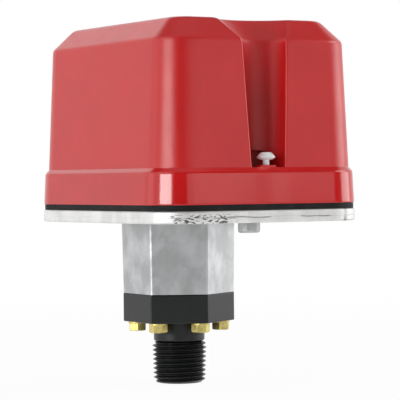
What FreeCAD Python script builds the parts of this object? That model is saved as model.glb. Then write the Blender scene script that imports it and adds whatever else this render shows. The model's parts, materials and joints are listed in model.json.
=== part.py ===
import FreeCAD, Part
import math
import os

# Pressure supervisory switch. The pressure axis is Z, and its origin is the lower end of the pipe thread.
# X runs along the enclosure, towards the end that stands furthest from the pressure axis. Sizes are in mm.

# Outline of the enclosure, seen from above
flange_length = 111.0
flange_width = 91.0
flange_corner_radius = 17.0
enclosure_offset = 13.9  # from the pressure axis to the middle of the enclosure
plate_overhang = 0.15
plate_edge_radius = 0.8

# Heights, from the thread's end upwards
thread_length = 17.0
collar_height = 7.7
fitting_hex_height = 11.4
housing_height = 28.9
plate_thickness = 4.7
gasket_thickness = 2.2
flange_height = 12.1
step_height = 1.6
wall_height = 48.0
bevel_height = 8.3

# Cover: how far each level stands in from the one below it
flange_draft = 0.6
step_width = 1.5
wall_draft = 2.0
bevel_width = 8.0
top_corner_radius = 7.0
cover_wall = 2.6

# Screw channels in the ends of the cover, coaxial with the cover screws
screw_inset = 4.4  # from the foot of the flange to the screw's axis
channel_bottom_radius = 7.8
channel_top_radius = 10.1
channel_flare = 7.9  # widening over the height of the bevel
pocket_radius = 6.6
pocket_depth = 10.0  # from the screw's axis into the cover
screw_lip_radius = 3.8
screw_lip_height = 0.8

# Cover screws and their retaining rings
cover_screw_diameter = 2.8
cover_screw_head_diameter = 7.4
cover_screw_brim = 0.9
cover_screw_dome_diameter = 5.6
cover_screw_dome_height = 1.9
cover_screw_socket_across = 2.4
cover_screw_socket_pin = 0.8
cover_screw_socket_depth = 1.5
cover_screw_stand = 1.5  # how far the backed-out screw stands up from its lip
cover_screw_clearance = 0.2
retainer_diameter = 4.6
retainer_thickness = 0.8
retainer_clearance = 0.2
retainer_fit = 0.05
retainer_stand = 3.1  # above the foot of the flange, with the screw backed out
retainer_room = 3.6  # free height above the ring

# Gasket
gasket_inset = 0.4
gasket_strip = 8.6
gasket_hole_clearance = 0.4

# Pipe thread, half-inch taper with 14 threads to the inch
thread_pitch = 25.4 / 14
thread_depth = 1.45
thread_end_radius = 10.36
thread_taper = 1 / 32  # growth of the radius with height
thread_half_angle = 30.0
collar_radius = 10.2
port_radius = 4.6

# Hex fitting, hex housing and the screws that join them
hex_across_flats = 38.6
fitting_edge_radius = 0.6
housing_edge_radius = 1.5
housing_draft = 0.5
flange_screw_edge = 5.6  # from the hex corner in to the screw
flange_screw_diameter = 4.1
flange_screw_head_across = 6.4
flange_screw_head_height = 3.0
flange_screw_washer_diameter = 7.2
flange_screw_washer_height = 0.8
flange_screw_reach = 9.0  # into the housing
screw_hole_clearance = 0.1
screw_hole_spare = 1.0  # blind holes run past the screw's end

# Diaphragm, piston and rod
diaphragm_radius = 13.8
diaphragm_thickness = 1.2
chamber_radius = 10.5
chamber_depth = 3.0
bore_radius = 12.2
piston_clearance = 0.4
piston_thickness = 4.5
piston_travel = 1.5
rod_radius = 2.4
rod_clearance = 0.1
rod_tip_radius = 1.8
rod_nut_across = 6.0
rod_nut_height = 2.2

# Range spring and its keyed seat
spring_wire = 1.6
spring_mean_radius = 9.0
spring_turns = 4
spring_end_gap = 0.05
seat_thickness = 5.0
seat_travel = 2.5
seat_clearance = 0.5
seat_key_width = 4.0
seat_key_reach = 1.5
seat_key_clearance = 0.3

# Setting wheel, its hollow stem, ring and washer
neck_height = 7.5
stem_radius = 5.0
stem_clearance = 0.06
stem_tail = 1.0
ring_thickness = 1.0
ring_groove_depth = 0.7
ring_radius = 6.8
ring_gap = 0.4
ring_to_seat = 0.8
washer_radius = 9.0
washer_thickness = 1.0
wheel_gap = 0.1
wheel_radius = 14.0
wheel_thickness = 7.0
wheel_dish_depth = 2.5
wheel_rim = 3.0
wheel_hub_radius = 6.5
wheel_flute_radius = 1.3
wheel_flute_count = 20

# Trip yoke and its trimming screws
yoke_stand = 4.0  # above the wheel
yoke_half_width = 4.5
yoke_thickness = 4.0
yoke_end = 4.0  # past the trimming screws
trip_screw_radius = 1.5
trip_screw_tail = 2.5
trip_screw_rise = 2.8
trip_nut_across = 5.5
trip_nut_height = 1.8
trip_gap = 0.1

# Snap switches
switch_length = 44.0
switch_behind = 17.4  # of that length, behind the plunger
switch_width = 17.4
switch_cover_height = 7.0
switch_case_height = 17.0
switch_wall = 2.2
switch_cavity_rise = 3.5  # of the cavity, into the case
plunger_radius = 2.0
plunger_spare = 1.3  # left of the plunger outside the switch at full travel
plunger_inside = 4.4
plunger_clearance = 0.08
plunger_collar_radius = 2.9
plunger_collar_height = 0.9
blade_thickness = 0.4
blade_width = 5.0
blade_room = 0.6  # above the plunger at full travel
blade_end_gap = 1.9  # from the closed terminal's strip
contact_radius = 1.3
contact_height = 0.7
contact_touch = 0.1  # left at the closed contact
contact_throw = 1.0  # left at the open contact
blade_root_gap = 0.1  # from the common terminal's strip to the pivot bead
blade_root_radius = 0.6
terminal_pitch = 13.0
terminal_thickness = 0.9
terminal_width = 8.4
terminal_blade_width = 5.0
terminal_clearance = 0.1
clamp_thickness = 1.1
clamp_width = 7.6
terminal_screw_radius = 1.8
terminal_screw_length = 7.5
terminal_head_radius = 3.4
terminal_head_height = 2.4
slot_width = 0.9
slot_depth = 1.1

# Bracket and what holds the switches to it
bracket_thickness = 1.6
bracket_edge = 0.6  # the plate stands up from the switches' lower faces by this much
bracket_back = 14.0
bracket_top_margin = 2.4
leg_gap = 3.0
leg_width = 11.0
foot_length = 12.0
foot_split = 0.6
bracket_screw_radius = 1.9
bracket_screw_reach = 3.6
bracket_head_radius = 3.5
bracket_head_height = 2.3
insulator_thickness = 0.4
insulator_margin = 0.5
bolt_radius = 2.0
bolt_spacing = 25.4
bolt_rise = 8.0  # above the joint of the switch case
bolt_head_across = 7.0
bolt_head_height = 2.8
bolt_nut_height = 3.0
bolt_end = 1.2
bolt_clearance = 0.1

# Conduit openings and the earth terminal
conduit_radius = 11.1
conduit_room_ahead = 4.3  # from the gasket to the plug's lip, along X
conduit_room_aside = 0.3  # and along Y
knockout_fit = 0.05
knockout_flange = 1.6
knockout_flange_thickness = 0.8
knockout_body = 3.2
knockout_wall = 1.0
ground_room = 3.4  # from the gasket to the clamp ring
ground_boss_radius = 4.2
ground_boss_height = 4.1
ground_boss_edge = 0.9
ground_screw_radius = 2.0
ground_screw_length = 6.5
ground_head_across = 7.0
ground_head_height = 2.6
ground_clamp_radius = 4.2
ground_clamp_thickness = 1.0

# Levels that follow from the heights
z_collar = thread_length
z_fitting = z_collar + collar_height
z_joint = z_fitting + fitting_hex_height
z_plate = z_joint + housing_height
z_deck = z_plate + plate_thickness
z_cover = z_deck + gasket_thickness
z_flange_top = z_cover + flange_height
z_ledge = z_flange_top + step_height
z_wall_top = z_ledge + wall_height
z_top = z_wall_top + bevel_height

# Insets that follow from the drafts
in_flange_top = flange_draft
in_ledge = in_flange_top + step_width
in_wall_top = in_ledge + wall_draft
in_top = in_wall_top + bevel_width

# Levels inside the housing
z_diaphragm = z_joint - diaphragm_thickness
z_chamber = z_diaphragm - chamber_depth
z_piston_top = z_joint + piston_thickness
z_roof = z_deck - neck_height
z_ring = z_roof - ring_gap - ring_thickness
z_seat_top = z_ring - ring_to_seat - seat_travel
z_seat = z_seat_top - seat_thickness
z_stem = z_seat - seat_travel - stem_tail

# Levels above the deck
z_wheel = z_deck + washer_thickness + wheel_gap
z_wheel_top = z_wheel + wheel_thickness
z_yoke = z_wheel_top + yoke_stand
z_yoke_top = z_yoke + yoke_thickness
z_trip_top = z_yoke_top + trip_screw_rise
z_plunger = z_trip_top + trip_gap
plunger_reach = piston_travel + plunger_spare
z_switch = z_plunger + plunger_reach
z_switch_joint = z_switch + switch_cover_height
z_switch_top = z_switch_joint + switch_case_height
z_bolt = z_switch_joint + bolt_rise
z_cavity = z_switch + switch_wall
z_cavity_top = z_switch_joint + switch_cavity_rise
z_blade = z_switch + plunger_inside + piston_travel + blade_room
z_closed_contact = z_blade - contact_height - contact_touch
z_open_contact = z_blade + blade_thickness + contact_height + contact_throw

# Places seen from above
x_screw_right = enclosure_offset + flange_length / 2 - screw_inset
x_screw_left = enclosure_offset - flange_length / 2 + screw_inset
gasket_inner = gasket_inset + gasket_strip
conduit_reach = conduit_radius + knockout_flange
x_gasket_inner = enclosure_offset + flange_length / 2 - gasket_inner
x_conduit = x_gasket_inner - conduit_room_ahead - conduit_reach
y_conduit = flange_width / 2 - gasket_inner - conduit_room_aside - conduit_reach
x_ground = x_gasket_inner - ground_room - ground_clamp_radius
x_switch_back = -switch_behind
x_switch_front = x_switch_back + switch_length
x_switch = (x_switch_back + x_switch_front) / 2
x_leg = wheel_radius + leg_gap
y_switch_face = bracket_thickness / 2 + insulator_thickness
y_switch = y_switch_face + switch_width / 2
y_switch_far = y_switch_face + switch_width
hex_corner = hex_across_flats / 2 / math.cos(math.radians(30))
screw_circle = hex_corner - flange_screw_edge
SIDES = {"a": -1, "b": 1}


def at(x, y, z):
    return FreeCAD.Vector(x, y, z)


UP = at(0, 0, 1)
ALONG_X = at(1, 0, 0)
ALONG_Y = at(0, 1, 0)


def cylinder(radius, z0, z1, x=0, y=0):
    """An upright cylinder between two heights."""
    return Part.makeCylinder(radius, z1 - z0, at(x, y, z0), UP)


def tube(outer, inner, z0, z1, x=0, y=0):
    """An upright ring between two heights."""
    return cylinder(outer, z0, z1, x, y).cut(cylinder(inner, z0, z1, x, y))


def cone(r0, r1, z0, z1, x=0, y=0):
    """An upright cone from radius r0 at z0 to radius r1 at z1."""
    return Part.makeCone(r0, r1, z1 - z0, at(x, y, z0), UP)


def block(x0, x1, y0, y1, z0, z1):
    """A box between two corners, given in either order along Y."""
    low, high = min(y0, y1), max(y0, y1)
    return Part.makeBox(x1 - x0, high - low, z1 - z0, at(x0, low, z0))


def joined(shapes):
    """One solid from several that meet."""
    return shapes[0].multiFuse(shapes[1:]).removeSplitter()


def hex_prism(across, z0, z1, x=0, y=0, turn=0):
    """An upright hexagonal prism, with a corner on +X before it is turned."""
    radius = across / 2 / math.cos(math.radians(30))
    corners = []
    for k in range(7):
        angle = math.radians(60 * k + turn)
        corners.append(at(x + radius * math.cos(angle), y + radius * math.sin(angle), z0))
    return Part.Face(Part.makePolygon(corners)).extrude(UP * (z1 - z0))


def rounded_outline(corners, radius, z):
    """A closed wire through convex corners given counter-clockwise, each rounded to one radius."""
    edges = []
    starts, ends = [], []
    count = len(corners)
    for k in range(count):
        here = at(*corners[k], z)
        back = (at(*corners[k - 1], z) - here).normalize()
        ahead = (at(*corners[(k + 1) % count], z) - here).normalize()
        half = back.getAngle(ahead) / 2
        reach = radius / math.tan(half)
        middle = (back + ahead).normalize() * (radius / math.sin(half) - radius)
        starts.append(here + back * reach)
        ends.append(here + ahead * reach)
        edges.append(Part.Arc(starts[k], here + middle, ends[k]).toShape())
    straights = [Part.LineSegment(ends[k], starts[(k + 1) % count]).toShape() for k in range(count)]
    loop = [edge for pair in zip(edges, straights) for edge in pair]
    return Part.Wire(loop)


def enclosure_outline(inset, radius, z):
    """The enclosure's rounded rectangle, drawn in by an inset."""
    dx = flange_length / 2 - inset
    dy = flange_width / 2 - inset
    x0, x1 = enclosure_offset - dx, enclosure_offset + dx
    return rounded_outline([(x0, -dy), (x1, -dy), (x1, dy), (x0, dy)], radius, z)


def hex_outline(across, radius, z):
    """A rounded hexagon about the pressure axis, with a corner on +X."""
    reach = across / 2 / math.cos(math.radians(30))
    angles = [math.radians(60 * k) for k in range(6)]
    return rounded_outline([(reach * math.cos(a), reach * math.sin(a)) for a in angles], radius, z)


def slab(wire, height):
    return Part.Face(wire).extrude(UP * height)


def ring_places():
    """The six screw places on the hex corners."""
    for k in range(6):
        angle = math.radians(60 * k)
        yield screw_circle * math.cos(angle), screw_circle * math.sin(angle)


def screw_hole(radius, z0, z1, x, y):
    return cylinder(radius + screw_hole_clearance, z0, z1, x, y)


# Pressure fitting

def thread_profile():
    """Half section of the tapered thread as rings: root, flank, crest and flank of each pitch."""
    run = thread_depth * math.tan(math.radians(thread_half_angle))
    flat = (thread_pitch - 2 * run) / 2
    points = []
    for k in range(int((thread_length - flat) / thread_pitch)):
        z = k * thread_pitch
        for step, depth in ((0, thread_depth), (run, 0), (run + flat, 0), (2 * run + flat, thread_depth)):
            crest = thread_end_radius + thread_taper * (z + step)
            points.append(at(crest - depth, 0, z + step))
    return points


def pressure_fitting():
    """Hex flange, collar and tapered thread in one moulding, with the port and the diaphragm's seat."""
    points = [at(0, 0, 0)] + thread_profile()
    points += [at(points[-1].x, 0, thread_length), at(collar_radius, 0, thread_length)]
    points += [at(collar_radius, 0, z_fitting), at(0, 0, z_fitting), points[0]]
    stem = Part.Face(Part.makePolygon(points)).revolve(at(0, 0, 0), UP, 360)
    flange = slab(hex_outline(hex_across_flats, fitting_edge_radius, z_fitting), fitting_hex_height)
    cuts = [cylinder(port_radius, 0, z_chamber), cylinder(chamber_radius, z_chamber, z_diaphragm)]
    cuts.append(cylinder(diaphragm_radius, z_diaphragm, z_joint))
    cuts += [screw_hole(flange_screw_diameter / 2, z_fitting, z_joint, x, y) for x, y in ring_places()]
    return joined([stem, flange]).cut(Part.makeCompound(cuts))


def diaphragm():
    """Rubber disc, clamped at its rim."""
    return cylinder(diaphragm_radius, z_diaphragm, z_joint)


def flange_screws():
    """Hex-headed screws with washer faces, up through the fitting into the housing."""
    screws = []
    z_head = z_fitting - flange_screw_washer_height
    for x, y in ring_places():
        shank = cylinder(flange_screw_diameter / 2, z_fitting, z_joint + flange_screw_reach, x, y)
        washer = cylinder(flange_screw_washer_diameter / 2, z_head, z_fitting, x, y)
        head = hex_prism(flange_screw_head_across, z_head - flange_screw_head_height, z_head, x, y)
        screws.append(joined([shank, washer, head]))
    return Part.makeCompound(screws)


# Base

def base_plate():
    """The flat plate under the enclosure, with rounded edges."""
    outline = enclosure_outline(-plate_overhang, flange_corner_radius + plate_overhang, z_plate)
    plate = slab(outline, plate_thickness)
    rims = [e for e in plate.Edges if e.BoundBox.ZLength < plate_thickness / 2]
    return plate.makeFillet(plate_edge_radius, rims)


def ground_boss():
    """The small boss under the plate that takes the earth screw."""
    z_low = z_plate - ground_boss_height
    boss = cylinder(ground_boss_radius, z_low, z_plate + plate_thickness / 2, x_ground)
    rim = [e for e in boss.Edges if e.BoundBox.ZMax < z_low + ground_boss_height / 2]
    return boss.makeFillet(ground_boss_edge, rim)


def housing_hex():
    """The drafted hexagonal spring housing under the plate."""
    wide = hex_across_flats + 2 * housing_draft
    low = hex_outline(hex_across_flats, housing_edge_radius, z_joint)
    high = hex_outline(wide, housing_edge_radius, z_plate + plate_thickness / 2)
    return Part.makeLoft([low, high], True, True)


def housing_cuts():
    """The spring bore with its two keyways, the neck hole and the holes for the flange screws."""
    half = seat_key_width / 2 + seat_key_clearance
    reach = bore_radius + seat_key_reach
    cuts = [cylinder(bore_radius, z_joint, z_roof), cylinder(stem_radius + stem_clearance, z_roof, z_deck)]
    cuts.append(block(-half, half, -reach, reach, z_piston_top, z_roof))
    z_end = z_joint + flange_screw_reach + screw_hole_spare
    cuts += [screw_hole(flange_screw_diameter / 2, z_joint, z_end, x, y) for x, y in ring_places()]
    return cuts


def plate_cuts():
    """Holes in the plate: cover screws, conduit openings, earth screw and bracket screws."""
    ends = (x_screw_right, x_screw_left)
    cuts = [screw_hole(cover_screw_diameter / 2, z_plate, z_deck, x, 0) for x in ends]
    cuts += [cylinder(conduit_radius, z_plate, z_deck, x_conduit, side * y_conduit) for side in (-1, 1)]
    z_ground = z_deck - ground_screw_length + ground_clamp_thickness
    cuts.append(screw_hole(ground_screw_radius, z_ground - screw_hole_spare, z_deck, x_ground, 0))
    z_foot = z_deck - bracket_screw_reach - screw_hole_spare / 2
    cuts += [screw_hole(bracket_screw_radius, z_foot, z_deck, x, y) for x, y in foot_places()]
    return cuts


def base_casting():
    """Plate, hex housing and boss in one casting."""
    body = joined([base_plate(), housing_hex(), ground_boss()])
    return body.cut(Part.makeCompound(housing_cuts() + plate_cuts()))


def conduit_knockout():
    """Cup-shaped plug in the spare conduit opening."""
    radius = conduit_radius - knockout_fit
    z_low = z_deck - knockout_body
    z_high = z_deck + knockout_flange_thickness
    body = cylinder(radius, z_low, z_deck, x_conduit, y_conduit)
    lip = cylinder(conduit_reach, z_deck, z_high, x_conduit, y_conduit)
    hollow = cylinder(radius - knockout_wall, z_low + knockout_wall, z_high, x_conduit, y_conduit)
    return joined([body, lip]).cut(hollow)


def ground_screw():
    """Hex-headed earth screw with a driver slot."""
    z_head = z_deck + ground_clamp_thickness
    z_top_head = z_head + ground_head_height
    shank = cylinder(ground_screw_radius, z_head - ground_screw_length, z_head, x_ground)
    head = hex_prism(ground_head_across, z_head, z_top_head, x_ground)
    return joined([shank, head]).cut(driver_slot(ground_head_across, z_top_head, x_ground, 0))


def ground_clamp():
    """Ring under the earth screw's head."""
    hole = ground_screw_radius + screw_hole_clearance
    return tube(ground_clamp_radius, hole, z_deck, z_deck + ground_clamp_thickness, x_ground)


def driver_slot(reach, z_head_top, x, y):
    half = slot_width / 2
    return block(x - reach, x + reach, y - half, y + half, z_head_top - slot_depth, z_head_top)


# Cover

def cover_levels():
    """Inset and height of each level of the cover, up to the top of its walls."""
    return ((0, z_cover), (in_flange_top, z_flange_top), (in_ledge, z_ledge), (in_wall_top, z_wall_top))


def cover_outer():
    """The cover's outside: flange, step, drafted walls and bevel, as one stack of rounded rectangles."""
    wires = [enclosure_outline(inset, flange_corner_radius - inset, z) for inset, z in cover_levels()]
    wires.append(enclosure_outline(in_top, top_corner_radius, z_top))
    return Part.makeLoft(wires, True, True)


def cover_inner():
    """The cover's hollow, one wall inside it all over."""
    turn = cover_wall * math.tan(math.atan2(bevel_height, bevel_width) / 2)
    wires = []
    for inset, z in cover_levels():
        inner = inset + cover_wall
        wires.append(enclosure_outline(inner, flange_corner_radius - inner, min(z, z_wall_top - turn)))
    wires.append(enclosure_outline(in_top + turn, top_corner_radius, z_top - cover_wall))
    return Part.makeLoft(wires, True, True)


def channel(x, inward, grow):
    """A screw channel: a cone up the wall, a wider one through the bevel and an arched pocket at its foot."""
    z_floor = z_ledge - grow
    shaft = cone(channel_bottom_radius + grow, channel_top_radius + grow, z_ledge, z_wall_top, x)
    mouth_radius = channel_top_radius + channel_flare
    mouth = cone(channel_top_radius + grow, mouth_radius + grow, z_wall_top, z_top, x)
    reach = pocket_depth + grow
    arch = Part.makeCylinder(pocket_radius + grow, reach, at(x, 0, z_ledge), ALONG_X * inward)
    x_far = x + inward * reach
    span = pocket_radius + grow
    arch = arch.common(block(min(x, x_far), max(x, x_far), -span, span, z_floor, z_top))
    parts = [shaft, mouth, arch]
    if grow:
        parts.append(cylinder(channel_bottom_radius + grow, z_floor, z_ledge, x))
    return joined(parts)


def screw_post(x):
    """Solid post in the flange around a cover screw, down to the gasket."""
    return cylinder(screw_post_radius(), z_cover, z_ledge, x)


def screw_post_radius():
    return retainer_diameter / 2 + retainer_clearance + cover_wall


def screw_hole_in_cover(x):
    """Clearance hole for a cover screw and the counterbore that its ring slides in."""
    hole = cylinder(cover_screw_diameter / 2 + cover_screw_clearance, z_cover, z_ledge + screw_lip_height, x)
    z_room = z_cover + retainer_stand + retainer_thickness + retainer_room
    return hole.fuse(cylinder(retainer_diameter / 2 + retainer_clearance, z_cover, z_room, x))


def cover():
    """The moulded cover: a shell with two screw channels, their posts, lips and holes."""
    outer = cover_outer()
    hollow = cover_inner()
    ends = ((x_screw_right, -1), (x_screw_left, 1))
    for x, inward in ends:
        hollow = hollow.cut(channel(x, inward, cover_wall)).cut(screw_post(x))
    shell = outer
    for x, inward in ends:
        shell = shell.cut(channel(x, inward, 0))
    shell = shell.cut(hollow)
    lips = [cylinder(screw_lip_radius, z_ledge, z_ledge + screw_lip_height, x).common(outer) for x, _ in ends]
    shell = joined([shell] + lips)
    return shell.cut(Part.makeCompound([screw_hole_in_cover(x) for x, _ in ends]))


def cover_gasket():
    """Flat gasket strip round the plate, with a hole for each cover screw."""
    corner = flange_corner_radius - gasket_inset
    strip = slab(enclosure_outline(gasket_inset, corner, z_deck), gasket_thickness)
    opening = slab(enclosure_outline(gasket_inner, corner, z_deck), gasket_thickness)
    radius = retainer_diameter / 2 + gasket_hole_clearance
    holes = [cylinder(radius, z_deck, z_cover, x) for x in (x_screw_right, x_screw_left)]
    return strip.cut(Part.makeCompound([opening] + holes))


def cover_screw(x):
    """Captive screw with a brimmed dome head and a pinned hexagon socket."""
    z_head = z_ledge + screw_lip_height + cover_screw_stand
    z_brim = z_head + cover_screw_brim
    z_dome = z_brim + cover_screw_dome_height
    z_tip = z_plate + cover_screw_stand
    shank = cylinder(cover_screw_diameter / 2, z_tip, z_head, x)
    brim = cylinder(cover_screw_head_diameter / 2, z_head, z_brim, x)
    dome = cylinder(cover_screw_dome_diameter / 2, z_brim, z_dome, x)
    crown = [e for e in dome.Edges if e.BoundBox.ZMin > z_dome - cover_screw_dome_height / 2]
    crown = [e for e in crown if e.BoundBox.ZLength < cover_screw_dome_height / 2]
    dome = dome.makeFillet(cover_screw_dome_height / 2, crown)
    z_socket = z_dome - cover_screw_socket_depth
    socket = hex_prism(cover_screw_socket_across, z_socket, z_dome, x)
    socket = socket.cut(cylinder(cover_screw_socket_pin / 2, z_socket, z_dome - slot_depth / 2, x))
    return joined([shank, brim, dome]).cut(socket)


def screw_retainer(x):
    """Ring that grips a cover screw under the cover."""
    z_low = z_cover + retainer_stand
    hole = cover_screw_diameter / 2 + retainer_fit
    return tube(retainer_diameter / 2, hole, z_low, z_low + retainer_thickness, x)


# Pressure side of the mechanism

def piston():
    """Pressure plate on the diaphragm, with a socket for the rod."""
    disc = cylinder(bore_radius - piston_clearance, z_joint, z_piston_top)
    return disc.cut(cylinder(rod_radius, z_joint + piston_thickness / 2, z_piston_top))


def push_rod():
    """Rod from the piston up to the yoke, with a thinner tip through the yoke and its nut."""
    rod = cylinder(rod_radius, z_joint + piston_thickness / 2, z_yoke)
    return joined([rod, cylinder(rod_tip_radius, z_yoke, z_yoke_top + rod_nut_height)])


def rod_nut():
    nut = hex_prism(rod_nut_across, z_yoke_top, z_yoke_top + rod_nut_height)
    return nut.cut(cylinder(rod_tip_radius, z_yoke_top, z_yoke_top + rod_nut_height))


def range_spring():
    """Compression spring between the piston and the seat, as round wire along a helix."""
    z_low = z_piston_top + spring_wire / 2 + spring_end_gap
    z_high = z_seat - spring_wire / 2 - spring_end_gap
    helix = Part.makeHelix((z_high - z_low) / spring_turns, z_high - z_low, spring_mean_radius)
    circle = Part.makeCircle(spring_wire / 2, at(spring_mean_radius, 0, 0), ALONG_Y)
    spring = Part.Wire(helix.Edges).makePipeShell([Part.Wire([circle])], True, True)
    spring.translate(at(0, 0, z_low))
    return spring


def spring_seat():
    """Keyed nut on the wheel's stem, which presses on the spring."""
    reach = bore_radius + seat_key_reach - seat_clearance
    half = seat_key_width / 2
    disc = cylinder(bore_radius - seat_clearance, z_seat, z_seat_top)
    body = joined([disc, block(-half, half, -reach, reach, z_seat, z_seat_top)])
    return body.cut(cylinder(stem_radius + stem_clearance, z_seat, z_seat_top))


def adjusting_wheel():
    """Fluted hand wheel on a hollow stem, with a groove for its ring."""
    rim = cylinder(wheel_radius, z_wheel, z_wheel_top)
    dish = tube(wheel_radius - wheel_rim, wheel_hub_radius, z_wheel_top - wheel_dish_depth, z_wheel_top)
    flutes = []
    for k in range(wheel_flute_count):
        angle = 2 * math.pi * k / wheel_flute_count
        x, y = wheel_radius * math.cos(angle), wheel_radius * math.sin(angle)
        flutes.append(cylinder(wheel_flute_radius, z_wheel, z_wheel_top, x, y))
    body = joined([rim.cut(Part.makeCompound([dish] + flutes)), cylinder(stem_radius, z_stem, z_wheel)])
    groove = tube(ring_radius, stem_radius - ring_groove_depth, z_ring, z_ring + ring_thickness)
    hole = cylinder(rod_radius + rod_clearance, z_stem, z_wheel_top)
    return body.cut(Part.makeCompound([groove, hole]))


def wheel_retaining_ring():
    return tube(ring_radius, stem_radius - ring_groove_depth, z_ring, z_ring + ring_thickness)


def thrust_washer():
    return tube(washer_radius, stem_radius + stem_clearance, z_deck, z_deck + washer_thickness)


# Trip yoke

def trip_yoke():
    """Cross-bar on the rod, with round ends under the two plungers."""
    reach = y_switch + yoke_end - yoke_half_width
    bar = block(-yoke_half_width, yoke_half_width, -reach, reach, z_yoke, z_yoke_top)
    ends = [cylinder(yoke_half_width, z_yoke, z_yoke_top, 0, side * reach) for side in SIDES.values()]
    holes = [cylinder(rod_tip_radius, z_yoke, z_yoke_top)]
    holes += [cylinder(trip_screw_radius, z_yoke, z_yoke_top, 0, side * y_switch) for side in SIDES.values()]
    return joined([bar] + ends).cut(Part.makeCompound(holes))


def trip_screws():
    """Trimming screws under the plungers."""
    low = z_yoke - trip_screw_tail
    screws = [cylinder(trip_screw_radius, low, z_trip_top, 0, side * y_switch) for side in SIDES.values()]
    return Part.makeCompound(screws)


def trip_locknuts():
    nuts = []
    for side in SIDES.values():
        z_nut = z_yoke_top + trip_nut_height
        nut = hex_prism(trip_nut_across, z_yoke_top, z_nut, 0, side * y_switch)
        nuts.append(nut.cut(cylinder(trip_screw_radius, z_yoke_top, z_nut, 0, side * y_switch)))
    return Part.makeCompound(nuts)


# Bracket

def foot_places():
    """Where the bracket's feet are screwed down: one foot to each side."""
    quarter = leg_width / 4
    middle = bracket_thickness / 2 + foot_length / 2
    return ((x_leg + quarter, middle), (x_leg + 3 * quarter, -middle))


def bolt_places():
    return (x_switch - bolt_spacing / 2, x_switch + bolt_spacing / 2)


def across(radius, y0, y1, x, z):
    """A cylinder along Y."""
    return Part.makeCylinder(radius, y1 - y0, at(x, y0, z), ALONG_Y)


def switch_bracket():
    """Sheet-metal plate between the switches, on a leg with two bent feet."""
    half = bracket_thickness / 2
    x_end = x_leg + leg_width
    z_high = z_switch_top - bracket_top_margin
    plate = block(-bracket_back, x_end, -half, half, z_switch + bracket_edge, z_high)
    leg = block(x_leg, x_end, -half, half, z_deck, z_high)
    middle = x_leg + leg_width / 2
    gap = foot_split / 2
    z_foot = z_deck + bracket_thickness
    feet = [block(x_leg, middle - gap, -half, half + foot_length, z_deck, z_foot)]
    feet.append(block(middle + gap, x_end, half, -half - foot_length, z_deck, z_foot))
    holes = [across(bolt_radius + bolt_clearance, -half, half, x, z_bolt) for x in bolt_places()]
    holes += [screw_hole(bracket_screw_radius, z_deck, z_foot, x, y) for x, y in foot_places()]
    return joined([plate, leg] + feet).cut(Part.makeCompound(holes))


def bracket_screws():
    """Pan-headed screws through the bracket's feet."""
    screws = []
    z_head = z_deck + bracket_thickness
    z_head_top = z_head + bracket_head_height
    for x, y in foot_places():
        shank = cylinder(bracket_screw_radius, z_deck - bracket_screw_reach, z_head, x, y)
        head = cylinder(bracket_head_radius, z_head, z_head_top, x, y)
        slot = driver_slot(bracket_head_radius, z_head_top, x, y)
        screws.append(joined([shank, head]).cut(slot))
    return Part.makeCompound(screws)


def hex_across_y(size, y0, y1, x, z):
    """A hexagonal prism along Y."""
    prism = hex_prism(size, 0, y1 - y0)
    prism.rotate(at(0, 0, 0), ALONG_X, -90)
    prism.translate(at(x, y0, z))
    return prism


def switch_bolts():
    """Bolts through both switches and the bracket."""
    bolts = []
    y_end = y_switch_far + bolt_nut_height + bolt_end
    for x in bolt_places():
        shank = across(bolt_radius, -y_switch_far, y_end, x, z_bolt)
        head = hex_across_y(bolt_head_across, -y_switch_far - bolt_head_height, -y_switch_far, x, z_bolt)
        bolts.append(joined([shank, head]))
    return Part.makeCompound(bolts)


def switch_nuts():
    nuts = []
    y_end = y_switch_far + bolt_nut_height
    for x in bolt_places():
        nut = hex_across_y(bolt_head_across, y_switch_far, y_end, x, z_bolt)
        nuts.append(nut.cut(across(bolt_radius, y_switch_far, y_end, x, z_bolt)))
    return Part.makeCompound(nuts)


def switch_insulators():
    """Thin sheets between the bracket and each switch."""
    sheets = []
    half = bracket_thickness / 2
    x0, x1 = x_switch_back + insulator_margin, x_switch_front - insulator_margin
    z0, z1 = z_switch + insulator_margin, z_switch_top - insulator_margin
    hole = bolt_radius + bolt_clearance
    holes = [across(hole, -y_switch_face, y_switch_face, x, z_bolt) for x in bolt_places()]
    for side in SIDES.values():
        sheet = block(x0, x1, side * half, side * y_switch_face, z0, z1)
        sheets.append(sheet.cut(Part.makeCompound(holes)))
    return Part.makeCompound(sheets)


# Snap switches

def switch_cavity(side):
    """The space in a switch that its blade moves in."""
    y0 = side * (y_switch_face + switch_wall)
    y1 = side * (y_switch_far - switch_wall)
    return block(x_switch_back + switch_wall, x_switch_front - switch_wall, y0, y1, z_cavity, z_cavity_top)


def terminal_places():
    """The three terminals of a switch, along X: common, normally open and normally closed."""
    return [x_switch + k * terminal_pitch for k in (-1, 0, 1)]


def terminal_slot(x, side, z0):
    """The vertical strip of a terminal, through the case."""
    half = terminal_blade_width / 2
    x0 = x + terminal_width / 2 - terminal_thickness
    y = side * y_switch
    return block(x0, x0 + terminal_thickness, y - half, y + half, z0, z_switch_top + terminal_thickness)


def widened(shape_box, room):
    """A box with clearance all round, from another box."""
    return block(
        shape_box.XMin - room, shape_box.XMax + room, shape_box.YMin - room, shape_box.YMax + room,
        shape_box.ZMin - room, shape_box.ZMax + room,
    )


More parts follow.
